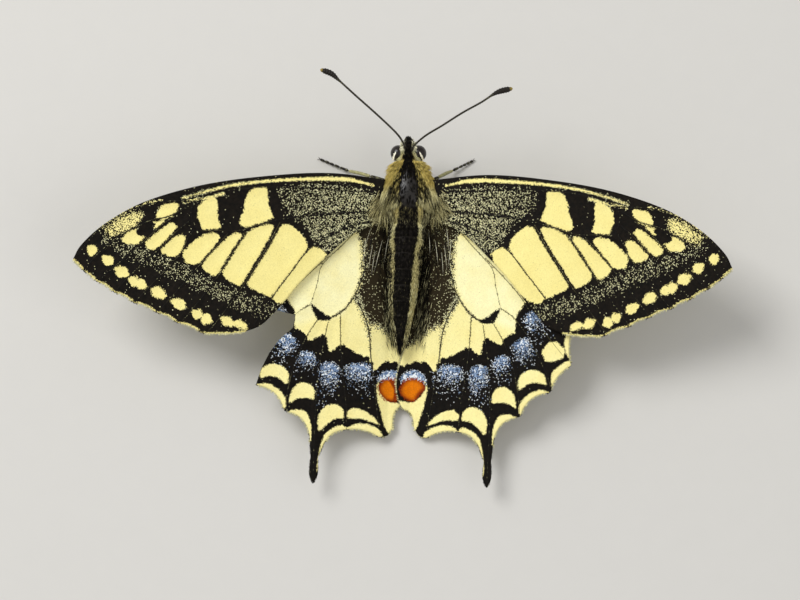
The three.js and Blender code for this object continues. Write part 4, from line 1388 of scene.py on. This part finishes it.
def coat_chest(sizes, finish):
    """The thorax's fur, with the long tufts over the wings' roots."""
    rng = np.random.default_rng(3)
    y, angle = scattered(sizes.chest_hairs, -0.6, 8.6, rng)
    light, cream = body_marks(y, angle)
    bald = (light < DARK) & (np.sin(angle) > 0) & (y > 2.0) & (y < 5.8)
    kept = ~(bald & (rng.random(len(y)) < 0.75))
    y, angle, light, cream = (row[kept] for row in (y, angle, light, cream))
    outer, top = np.abs(np.cos(angle)), np.sin(angle) > 0
    shoulder = smoothstep(0.45, 0.8, outer) * top
    tuft = between(2.3, 2.7, 3.4, 3.8, y) * smoothstep(0.3, 0.5, outer) * top
    tegula = shoulder * between(3.0, 3.6, 4.3, 4.9, y)
    ahead = top * between(3.5, 4.1, 4.5, 5.3, y)
    streak = ahead * between(0.72, 0.78, 0.86, 0.92, outer)
    hollow = ahead * between(0.56, 0.62, 0.68, 0.74, outer)
    collar = between(6.8, 7.6, 8.3, 8.6, y) * smoothstep(0.25, 0.6, outer)
    lengths = (0.75 + 0.35 * shoulder + 0.65 * tuft + 0.6 * tegula + 0.35 * collar
               + 0.75 * streak)
    lengths = lengths * rng.uniform(0.6, 1.15, len(y)) * (1 - 0.3 * smoothstep(6.6, 8.4, y))
    lengths = lengths * (1 - 0.45 * smoothstep(1.6, 0.2, y))
    lengths = np.where((light < DARK) & top, 0.45, lengths)
    flows = flow_on_body(y, angle, 0.22 + 0.32 * between(1.6, 2.6, 3.2, 4.2, y))
    flows += 0.13 * rng.normal(size=flows.shape)
    light = np.maximum(light, 0.95 * tegula * (rng.random(len(y)) < 0.35))
    light = np.maximum(light * (1 - 0.55 * hollow), streak * (rng.random(len(y)) < 0.75))
    cream = np.maximum(cream, 0.7 * tegula)
    cream = np.maximum(cream, 0.75 * smoothstep(5.6, 4.2, y) * shoulder)
    marks = {"light": light, "cream": cream}
    lift = 0.4 + 0.45 * shoulder * smoothstep(3.4, 4.2, y) + 0.8 * collar
    add_hairs("coat_thorax", *skin_and_normals(y, angle), flows, lengths, 0.07,
              skin_map(y, angle), marks, finish, lift=lift, droop=0.7, clumps=900, pull=0.45,
              seed=4)


def coat_tail(sizes, finish):
    """The abdomen's short flat hair, longer at its tip."""
    rng = np.random.default_rng(13)
    y, angle = scattered(sizes.tail_hairs, -15.6, 0.3, rng)
    light, cream = body_marks(y, angle)
    lengths = 0.42 * rng.uniform(0.7, 1.2, len(y)) + 0.6 * smoothstep(-12.5, -15.6, y)
    flank = (np.abs(np.cos(angle)) > 0.6) & (np.sin(angle) > 0)
    loose = flank & (rng.random(len(y)) < 0.07) & (y < -7)
    lengths = np.where(loose, lengths + 0.8, lengths)
    flows = flow_on_body(y, angle, 0.05) + 0.1 * rng.normal(size=(len(y), 3))
    marks = {"light": np.where(loose, np.maximum(light, 0.5), light),
             "cream": np.where(loose, 0.8, cream)}
    add_hairs("coat_abdomen", *skin_and_normals(y, angle), flows, lengths, 0.075,
              skin_map(y, angle), marks, finish, lift=0.2, droop=0.9, clumps=1500, pull=0.25,
              seed=5)


def beside_head(place, side):
    """A place on the head's side, from its x out from the head's middle, its y and its z."""
    out, y, z = place
    return np.array([HEAD_X + SIGN[side] * out, y, z])


def coat_face(sizes, finish):
    """The head's hair: cream beside the eyes, black between them and in the forward tuft."""
    rng = np.random.default_rng(23)
    y, angle = scattered(sizes.head_hairs, 8.0, 10.95, rng)
    roots, normals = skin_and_normals(y, angle)
    gap = np.min([np.linalg.norm(roots - beside_head(EYE_PLACE, side), axis=1) for side in SIDES],
                 axis=0) - EYE_RADIUS
    kept = gap > -0.07 * EYE_RADIUS
    y, angle, roots, normals, gap = (row[kept] for row in (y, angle, roots, normals, gap))
    light, cream = body_marks(y, angle)
    outer = np.abs(np.cos(angle))
    crown = smoothstep(9.75, 10.4, y)
    beside = smoothstep(0.35, 0.7, outer) * (np.sin(angle) > 0) * (1 - crown)
    behind = smoothstep(9.0, 8.5, y) * smoothstep(0.2, 0.5, outer)
    lengths = (0.4 + 0.33 * beside + 0.45 * behind) * rng.uniform(0.7, 1.2, len(y))
    back = np.where(y > 9.9, 0.9, -0.8)
    aside = 0.3 + 0.85 * beside - 0.75 * crown + 0.5 * behind
    flows = np.stack([aside * np.cos(angle), back, 0.15 * crown], 1)
    flows += 0.16 * rng.normal(size=flows.shape)
    rim = smoothstep(0.3, 0.05, gap)
    light = np.maximum(light * (1 - 0.9 * crown), 0.9 * rim * (1 - crown))
    cream = cream + 0.25 * smoothstep(9.1, 9.6, y)
    marks = {"light": light, "cream": np.maximum(cream, rim)}
    add_hairs("coat_head", roots, normals, flows, lengths, 0.06, skin_map(y, angle), marks,
              finish, lift=0.55 + 0.6 * behind, droop=0.8, clumps=500, pull=0.35, seed=6)


def coat_eye_rims(finish):
    """White scales in a band round the back of each eye."""
    rng = np.random.default_rng(33)
    for side in SIDES:
        turn = rng.uniform(0, math.tau, RIM_HAIRS)
        polar = np.radians(rng.normal(86, 2.4, RIM_HAIRS))
        axis = np.array([SIGN[side] * 0.83, 0.56, 0.0])
        back = np.array([SIGN[side] * 0.56, -0.83, 0.0])
        normals = turned(axis, turned(back, UPWARDS, turn), polar)
        roots = beside_head(EYE_PLACE, side) + normals * EYE_RADIUS * EYE_SHAPE
        flows = -axis * 0.5 + np.cross(axis, normals) * 0.9 * np.sign(np.sin(turn))[:, None]
        flows = -flows * np.sign(flows[:, 1:2]) + 0.15 * rng.normal(size=roots.shape)
        kept = rng.random(RIM_HAIRS) < smoothstep(0.1, 0.3, np.cos(turn))
        lengths = rng.uniform(0.14, 0.26, RIM_HAIRS)
        down = 0.5 + 0.02 * np.degrees(polar - 1.5)
        places = np.clip(np.stack([0.1 + 0.8 * turn / math.tau, down], 1), 0.05, 0.95)
        roots, normals, flows, lengths, places = (
            rows[kept] for rows in (roots, normals, flows, lengths, places))
        marks = {"light": np.full(len(roots), 1.1), "cream": np.full(len(roots), 1.4)}
        add_hairs(f"eye_rim_{side}", roots, normals, flows, lengths, 0.06, places, marks, finish,
                  lift=0.25, droop=0.6, seed=34)


def make_wing_hair(side, sizes, finish):
    """Thin hairs that fan back over the roots of both wings."""
    rng = np.random.default_rng(8)
    parts = []
    for pair, share, middle, spread, reach, way, fan, light, cream in WING_HAIR:
        number = int(sizes.base_hairs * share)
        flat = rng.normal(size=(number * 3, 2)) * spread + middle
        flat = flat[wing_depth(flat, pair, side) > 0.1][:number]
        ways = rng.normal(size=flat.shape) * fan + way
        roots = wing_place(flat, pair, side) - ORIGIN
        flows = wing_place(flat + ways, pair, side) - ORIGIN - roots
        parts.append((roots, flows, reach * rng.uniform(0.5, 1.15, len(flat)),
                      np.full(len(flat), light), np.full(len(flat), cream),
                      wing_map(flat, False, pair)))
    roots, flows, lengths, light, cream, places = (np.concatenate(rows) for rows in zip(*parts))
    marks = {"light": light, "cream": cream}
    add_hairs(f"wing_base_hair_{side}", roots, UPWARDS, flows, lengths, 0.05, places, marks,
              finish, lift=0.2, droop=0.95, clumps=120, pull=0.35,
              seed=9 if side == "left" else 10)


# ------------------------------------------------------------------ eyes, feelers, mouth, legs

FOOT_JOINTS = [0, 0.36, 0.56, 0.72, 0.86, 1.0]      # shares of the foot's length


def make_eye(side, finish):
    """A ball drawn a little to the eye's proportions."""
    shape = bmesh.new()
    bmesh.ops.create_uvsphere(shape, u_segments=56, v_segments=36, radius=EYE_RADIUS * MM)
    bmesh.ops.scale(shape, verts=shape.verts, vec=EYE_SHAPE)
    middle = to_frame(beside_head(EYE_PLACE, side))
    bmesh.ops.translate(shape, verts=shape.verts, vec=middle)
    name = f"eye_{side}"
    add_piece(f"{name}_ball", mesh_from(f"{name}_ball", shape), finish, [name])


def make_feeler(side, finish):
    """A ringed rod with a thick root joint and a club at its end."""
    shape = bmesh.new()
    layer = shape.verts.layers.float.new("along")
    path = spline(FEELERS[side], 14)

    def radius(part):
        club = smoothstep(0.78, 0.92, part) * (1 - 0.75 * smoothstep(0.95, 1.0, part))
        rings = 1 + 0.1 * np.sin(math.tau * FEELER_RINGS * part)
        return (0.13 + 0.24 * club) * rings * rounded_ends(part, 0.012)

    add_limb(shape, path, radius, sides=12, rings=330, layer=layer)
    add_limb(shape, path[6:20], taper(0.2, 0.2, 0.3), sides=14, rings=12, layer=layer)
    name = f"antenna_{side}"
    add_closed_piece(f"{name}_ringed", shape, finish, [name])


def make_palp(side, coat, skin):
    """A short limb beside the tongue, thick with hair."""
    root, tip = beside_head(PALP_ROOT, side), beside_head(PALP_TIP, side)
    bend = (root + tip) / 2 + (0, 0.3, -0.25)
    path = spline([root, bend, tip], 8)
    shape = bmesh.new()
    add_limb(shape, path, taper(0.2, 0.1, 0.12), sides=12, rings=16)
    bmesh.ops.recalc_face_normals(shape, faces=shape.faces)
    mesh = mesh_from(f"palp_{side}_limb", shape)
    count = len(mesh.vertices)
    set_numbers(mesh, light=np.full(count, 0.3), cream=np.full(count, 0.8))
    add_piece(f"palp_{side}_limb", mesh, skin, [f"palp_{side}"])
    rng = np.random.default_rng(31)
    part = rng.random(PALP_HAIRS)
    angle = rng.uniform(0, math.tau, PALP_HAIRS)
    where = place_along(path, np.linspace(0, 1, len(path)), part)
    across, up = frames_along(path)
    pick = (part * (len(path) - 1)).astype(int)
    normals = turned(across[pick], up[pick], angle)
    flows = 0.2 * rng.normal(size=normals.shape) + (0.05 * SIGN[side], 0.8, 0.45)
    upper = smoothstep(-0.2, 0.6, normals[:, 2])
    marks = {"light": 0.85 - 0.75 * upper, "cream": np.full(PALP_HAIRS, 0.9)}
    places = np.stack([0.1 + 0.8 * angle / math.tau, 0.1 + 0.8 * part], 1)
    add_hairs(f"palp_{side}_hair", where + normals * 0.12, normals, flows,
              rng.uniform(0.25, 0.5, PALP_HAIRS), 0.055, places, marks, coat, lift=0.6,
              droop=0.4, seed=32)


def make_tongue(finish):
    """A tongue that leads down from the face and coils up two and a half times."""
    shape = bmesh.new()
    layer = shape.verts.layers.float.new("along")
    turn = np.linspace(0, 1, 90)
    angle = math.radians(80) + turn * math.radians(-900)
    reach = TONGUE_REACH * (1 - 0.72 * turn)
    y, z = TONGUE_MIDDLE
    coil = np.stack([HEAD_X + 0.12 * turn, y + reach * np.cos(angle), z + reach * np.sin(angle)], 1)
    lead = spline([(HEAD_X, 9.6, 7.1), (HEAD_X, 9.75, 6.6), tuple(coil[0])], 8)[:-1]
    path = np.vstack([lead, coil])
    add_limb(shape, path, taper(0.15, 0.08, 0.01), sides=10, rings=240, layer=layer)
    add_closed_piece("proboscis_coil", shape, finish, ["proboscis"])


def make_leg(label, finish):
    """Coxa, thigh, shin with spurs, five foot joints and two claws."""
    hip, knee, ankle, toe = (np.array(point, float) for point in LEGS[label])
    shape = bmesh.new()
    layer = shape.verts.layers.float.new("pale")
    thick = lambda wide, narrow: taper(wide, narrow, 0.06, swell=0.05)

    def add(path, radius, pale, sides=12, rings=20):
        for vert in add_limb(shape, path, radius, sides=sides, rings=rings):
            vert[layer] = pale

    add(spline([hip + (0, 0, 0.7), hip], 6), thick(0.45, 0.3), 0.45)
    thigh = spline([hip, (hip + knee) / 2 + (0, 0, 0.21), knee], 8)
    add(thigh, thick(0.3, 0.22), 0.25, rings=28)
    shin = spline([knee, (knee + ankle) / 2 + (0, 0, 0.175), ankle], 8)
    add(shin, thick(0.2, 0.16), 0.8, rings=28)
    foot = spline([ankle, ankle * 0.55 + toe * 0.45 + (0, 0, 0.02), toe], 20)
    cuts = (np.array(FOOT_JOINTS) * (len(foot) - 1)).astype(int)
    for first, last in zip(cuts, cuts[1:]):
        add(foot[first:last + 1], thick(0.1, 0.125), 0.12, sides=10, rings=10)
    ahead = unit((toe - ankle) * (1, 1, 0))
    aside = np.array([-ahead[1], ahead[0], 0])
    for sign in (-1, 1):
        claw = spline([toe, toe + 0.22 * ahead + sign * 0.14 * aside + (0, 0, 0.02),
                       toe + 0.36 * ahead + sign * 0.2 * aside + (0, 0, -0.15)], 6)
        add(claw, taper(0.05, 0.01, 0.08), 0.1, sides=6, rings=8)
        spur = spline([ankle + (0, 0, -0.05),
                       ankle + 0.3 * ahead + sign * 0.2 * aside + (0, 0, -0.14),
                       ankle + 0.55 * ahead + sign * 0.26 * aside + (0, 0, -0.22)], 5)
        add(spur, taper(0.045, 0.0135, 0.08), 0.2, sides=6, rings=8)
    rng = np.random.default_rng(len(label))
    for path, count, reach in ((shin, 26, 0.3), (foot, 34, 0.2)):
        across, up = frames_along(path)
        for spot in rng.integers(2, len(path) - 2, count):
            turn = rng.uniform(0, math.tau)
            out = turned(across[spot], up[spot], turn)
            on = path[spot] + out * 0.08
            lean = unit(path[spot + 2] - path[spot])
            spine = np.array([on, on + reach * (0.35 * out + 0.25 * lean),
                              on + reach * (0.6 * out + 0.8 * lean)])
            spine[:, 2] = np.maximum(spine[:, 2], 0.03)
            add(spine, taper(0.022, 0.0044, 0.1), 0.1, sides=4, rings=4)
    bmesh.ops.recalc_face_normals(shape, faces=shape.faces)
    for vert in shape.verts:
        vert.co.z = max(vert.co.z, 0.0)
    name = f"leg_{label}"
    add_piece(f"{name}_jointed", mesh_from(f"{name}_jointed", shape), finish, [name])


# ------------------------------------------------------------------ stage

CAMERA_PLACE = (20.92, -96.13, 392.88)      # mm
CAMERA_AIM = (0.695, 7.26, 7.0)
CAMERA_ROLL = math.radians(1.14)
CAMERA_LENS = 141.7
CAMERA_OFF_CENTRE = (0.00308, -0.02382)     # how far off the lens axis the aim falls, as a slope
LAMPS = {   # place in metres, power in watts, size in metres
    "key": ((-0.28, 0.2, 0.5), 2.5, 0.3),
    "fill": ((0.35, -0.2, 0.4), 0.6, 0.4),
}
LAMP_AIM = (0, 0, 0.005)
WORLD_LIGHT = 0.5
FLOOR_REACH = 1.5


def add_lamp(name, place, power, size):
    lamp = bpy.data.lights.new(name, "AREA")
    lamp.energy, lamp.size = power, size
    holder = bpy.data.objects.new(name, lamp)
    holder.location = place
    way = Vector(LAMP_AIM) - Vector(place)
    holder.rotation_euler = way.to_track_quat("-Z", "Y").to_euler()
    bpy.context.scene.collection.objects.link(holder)


def add_world():
    """Even white light from all round."""
    world = bpy.data.worlds.new("studio")
    world.use_nodes = True
    background = world.node_tree.nodes["Background"]
    background.inputs["Color"].default_value = (1, 1, 1, 1)
    background.inputs["Strength"].default_value = WORLD_LIGHT
    bpy.context.scene.world = world


def add_camera():
    """A long lens high above, rolled a little and aimed off its axis."""
    ahead = (Vector(CAMERA_AIM) - Vector(CAMERA_PLACE)).normalized()
    right = ahead.cross(Vector((0, 1, 0))).normalized()
    up = right.cross(ahead)
    right, up = (right * math.cos(CAMERA_ROLL) + up * math.sin(CAMERA_ROLL),
                 up * math.cos(CAMERA_ROLL) - right * math.sin(CAMERA_ROLL))
    ahead = (ahead - right * CAMERA_OFF_CENTRE[0] + up * CAMERA_OFF_CENTRE[1]).normalized()
    right = (right - ahead * right.dot(ahead)).normalized()
    up = right.cross(ahead)
    camera = bpy.data.cameras.new("camera")
    camera.lens, camera.sensor_width, camera.clip_start = CAMERA_LENS, 36, 0.01
    holder = bpy.data.objects.new("camera", camera)
    holder.matrix_world = Matrix((
        (right.x, up.x, -ahead.x, CAMERA_PLACE[0] * MM),
        (right.y, up.y, -ahead.y, CAMERA_PLACE[1] * MM),
        (right.z, up.z, -ahead.z, CAMERA_PLACE[2] * MM), (0, 0, 0, 1)))
    bpy.context.scene.collection.objects.link(holder)
    bpy.context.scene.camera = holder


def add_floor(finish):
    shape = bmesh.new()
    bmesh.ops.create_grid(shape, x_segments=4, y_segments=4, size=FLOOR_REACH)
    floor = bpy.data.objects.new("floor", mesh_from("floor", shape))
    floor.data.materials.append(finish)
    bpy.context.scene.collection.objects.link(floor)


# ------------------------------------------------------------------ operators

def sizes_in_mm(group):
    """The group's lengths in mm, and its counts as they are."""
    values = {key: getattr(group, key) for key in group.__annotations__}
    return SimpleNamespace(**{key: value if isinstance(value, int) else round(value / MM, 6)
                              for key, value in values.items()})


class Making:
    """An operator that makes something with the scene's colours and sizes."""
    bl_options = {"REGISTER", "UNDO"}

    def execute(self, context):
        self.make(context.scene.butterfly_colours, sizes_in_mm(context.scene.butterfly_sizes))
        return {"FINISHED"}


class BUTTERFLY_OT_wings(Making, bpy.types.Operator):
    """Makes the four scaled wings"""
    bl_idname = "butterfly.wings"
    bl_label = "Wings"

    def make(self, colours, sizes):
        for pair in PAIRS:
            finish = wing_finish(colours, sizes, f"{pair}wing_scales", pair == "hind")
            for side in SIDES:
                make_wing(pair, side, sizes, finish)


class BUTTERFLY_OT_veins(Making, bpy.types.Operator):
    """Makes the ribs of the wings"""
    bl_idname = "butterfly.veins"
    bl_label = "Veins"

    def make(self, colours, sizes):
        finish = vein_finish(colours)
        for pair, side in WINGS:
            make_veins(pair, side, sizes, finish)


class BUTTERFLY_OT_fringe(Making, bpy.types.Operator):
    """Makes the fringe of scales along the wings' outer margins"""
    bl_idname = "butterfly.fringe"
    bl_label = "Fringe"

    def make(self, colours, sizes):
        finish = coat_finish(colours, "fringe")
        for pair, side in WINGS:
            make_fringe(pair, side, sizes, finish)


class BUTTERFLY_OT_skin(Making, bpy.types.Operator):
    """Makes the skin of head, thorax and abdomen in one"""
    bl_idname = "butterfly.skin"
    bl_label = "Skin"

    def make(self, colours, sizes):
        make_skin(skin_finish(colours))


class BUTTERFLY_OT_coat(Making, bpy.types.Operator):
    """Makes the hair of the body and of the wings' roots"""
    bl_idname = "butterfly.coat"
    bl_label = "Coat"

    def make(self, colours, sizes):
        finish = coat_finish(colours)
        coat_chest(sizes, finish)
        coat_tail(sizes, finish)
        coat_face(sizes, finish)
        coat_eye_rims(finish)
        for side in SIDES:
            make_wing_hair(side, sizes, finish)


class BUTTERFLY_OT_eyes(Making, bpy.types.Operator):
    """Makes the two eyes"""
    bl_idname = "butterfly.eyes"
    bl_label = "Eyes"

    def make(self, colours, sizes):
        finish = eye_finish(colours)
        for side in SIDES:
            make_eye(side, finish)


class BUTTERFLY_OT_feelers(Making, bpy.types.Operator):
    """Makes the two ringed and clubbed feelers"""
    bl_idname = "butterfly.feelers"
    bl_label = "Feelers"

    def make(self, colours, sizes):
        finish = feeler_finish(colours)
        for side in SIDES:
            make_feeler(side, finish)


class BUTTERFLY_OT_mouth(Making, bpy.types.Operator):
    """Makes the palps and the coiled tongue"""
    bl_idname = "butterfly.mouth"
    bl_label = "Palps and tongue"

    def make(self, colours, sizes):
        coat, skin = coat_finish(colours, "palp_hair"), skin_finish(colours)
        for side in SIDES:
            make_palp(side, coat, skin)
        make_tongue(trunk_finish(colours))


class BUTTERFLY_OT_legs(Making, bpy.types.Operator):
    """Makes the six jointed legs"""
    bl_idname = "butterfly.legs"
    bl_label = "Legs"

    def make(self, colours, sizes):
        finish = leg_finish(colours)
        for label in LEGS:
            make_leg(label, finish)


class BUTTERFLY_OT_stage(Making, bpy.types.Operator):
    """Sets up the floor, the lamps and the camera"""
    bl_idname = "butterfly.stage"
    bl_label = "Stage"

    def make(self, colours, sizes):
        add_floor(floor_finish(colours))
        for name, lamp in LAMPS.items():
            add_lamp(name, *lamp)
        add_world()
        bpy.context.scene.view_settings.view_transform = "Standard"
        add_camera()


class BUTTERFLY_PT_panel(bpy.types.Panel):
    """Lists what the butterfly is made of"""
    bl_idname = "BUTTERFLY_PT_panel"
    bl_label = "Swallowtail butterfly"
    bl_space_type = "VIEW_3D"
    bl_region_type = "UI"
    bl_category = "Butterfly"

    def draw(self, context):
        for group in (context.scene.butterfly_sizes, context.scene.butterfly_colours):
            box = self.layout.box()
            for key in group.__annotations__:
                box.prop(group, key)
        for operator in OPERATORS:
            self.layout.operator(operator.bl_idname)


OPERATORS = (BUTTERFLY_OT_wings, BUTTERFLY_OT_veins, BUTTERFLY_OT_fringe, BUTTERFLY_OT_skin,
             BUTTERFLY_OT_coat, BUTTERFLY_OT_eyes, BUTTERFLY_OT_feelers, BUTTERFLY_OT_mouth,
             BUTTERFLY_OT_legs, BUTTERFLY_OT_stage)
CLASSES = (ButterflyColours, ButterflySizes, *OPERATORS, BUTTERFLY_PT_panel)


def register():
    for item in CLASSES:
        bpy.utils.register_class(item)
    bpy.types.Scene.butterfly_colours = bpy.props.PointerProperty(type=ButterflyColours)
    bpy.types.Scene.butterfly_sizes = bpy.props.PointerProperty(type=ButterflySizes)


def unregister():
    del bpy.types.Scene.butterfly_sizes
    del bpy.types.Scene.butterfly_colours
    for item in reversed(CLASSES):
        bpy.utils.unregister_class(item)


def main():
    register()
    bpy.ops.butterfly.wings()
    bpy.ops.butterfly.veins()
    bpy.ops.butterfly.fringe()
    bpy.ops.butterfly.skin()
    bpy.ops.butterfly.coat()
    bpy.ops.butterfly.eyes()
    bpy.ops.butterfly.feelers()
    bpy.ops.butterfly.mouth()
    bpy.ops.butterfly.legs()
    bpy.ops.butterfly.stage()


if __name__ == "__main__":
    main()
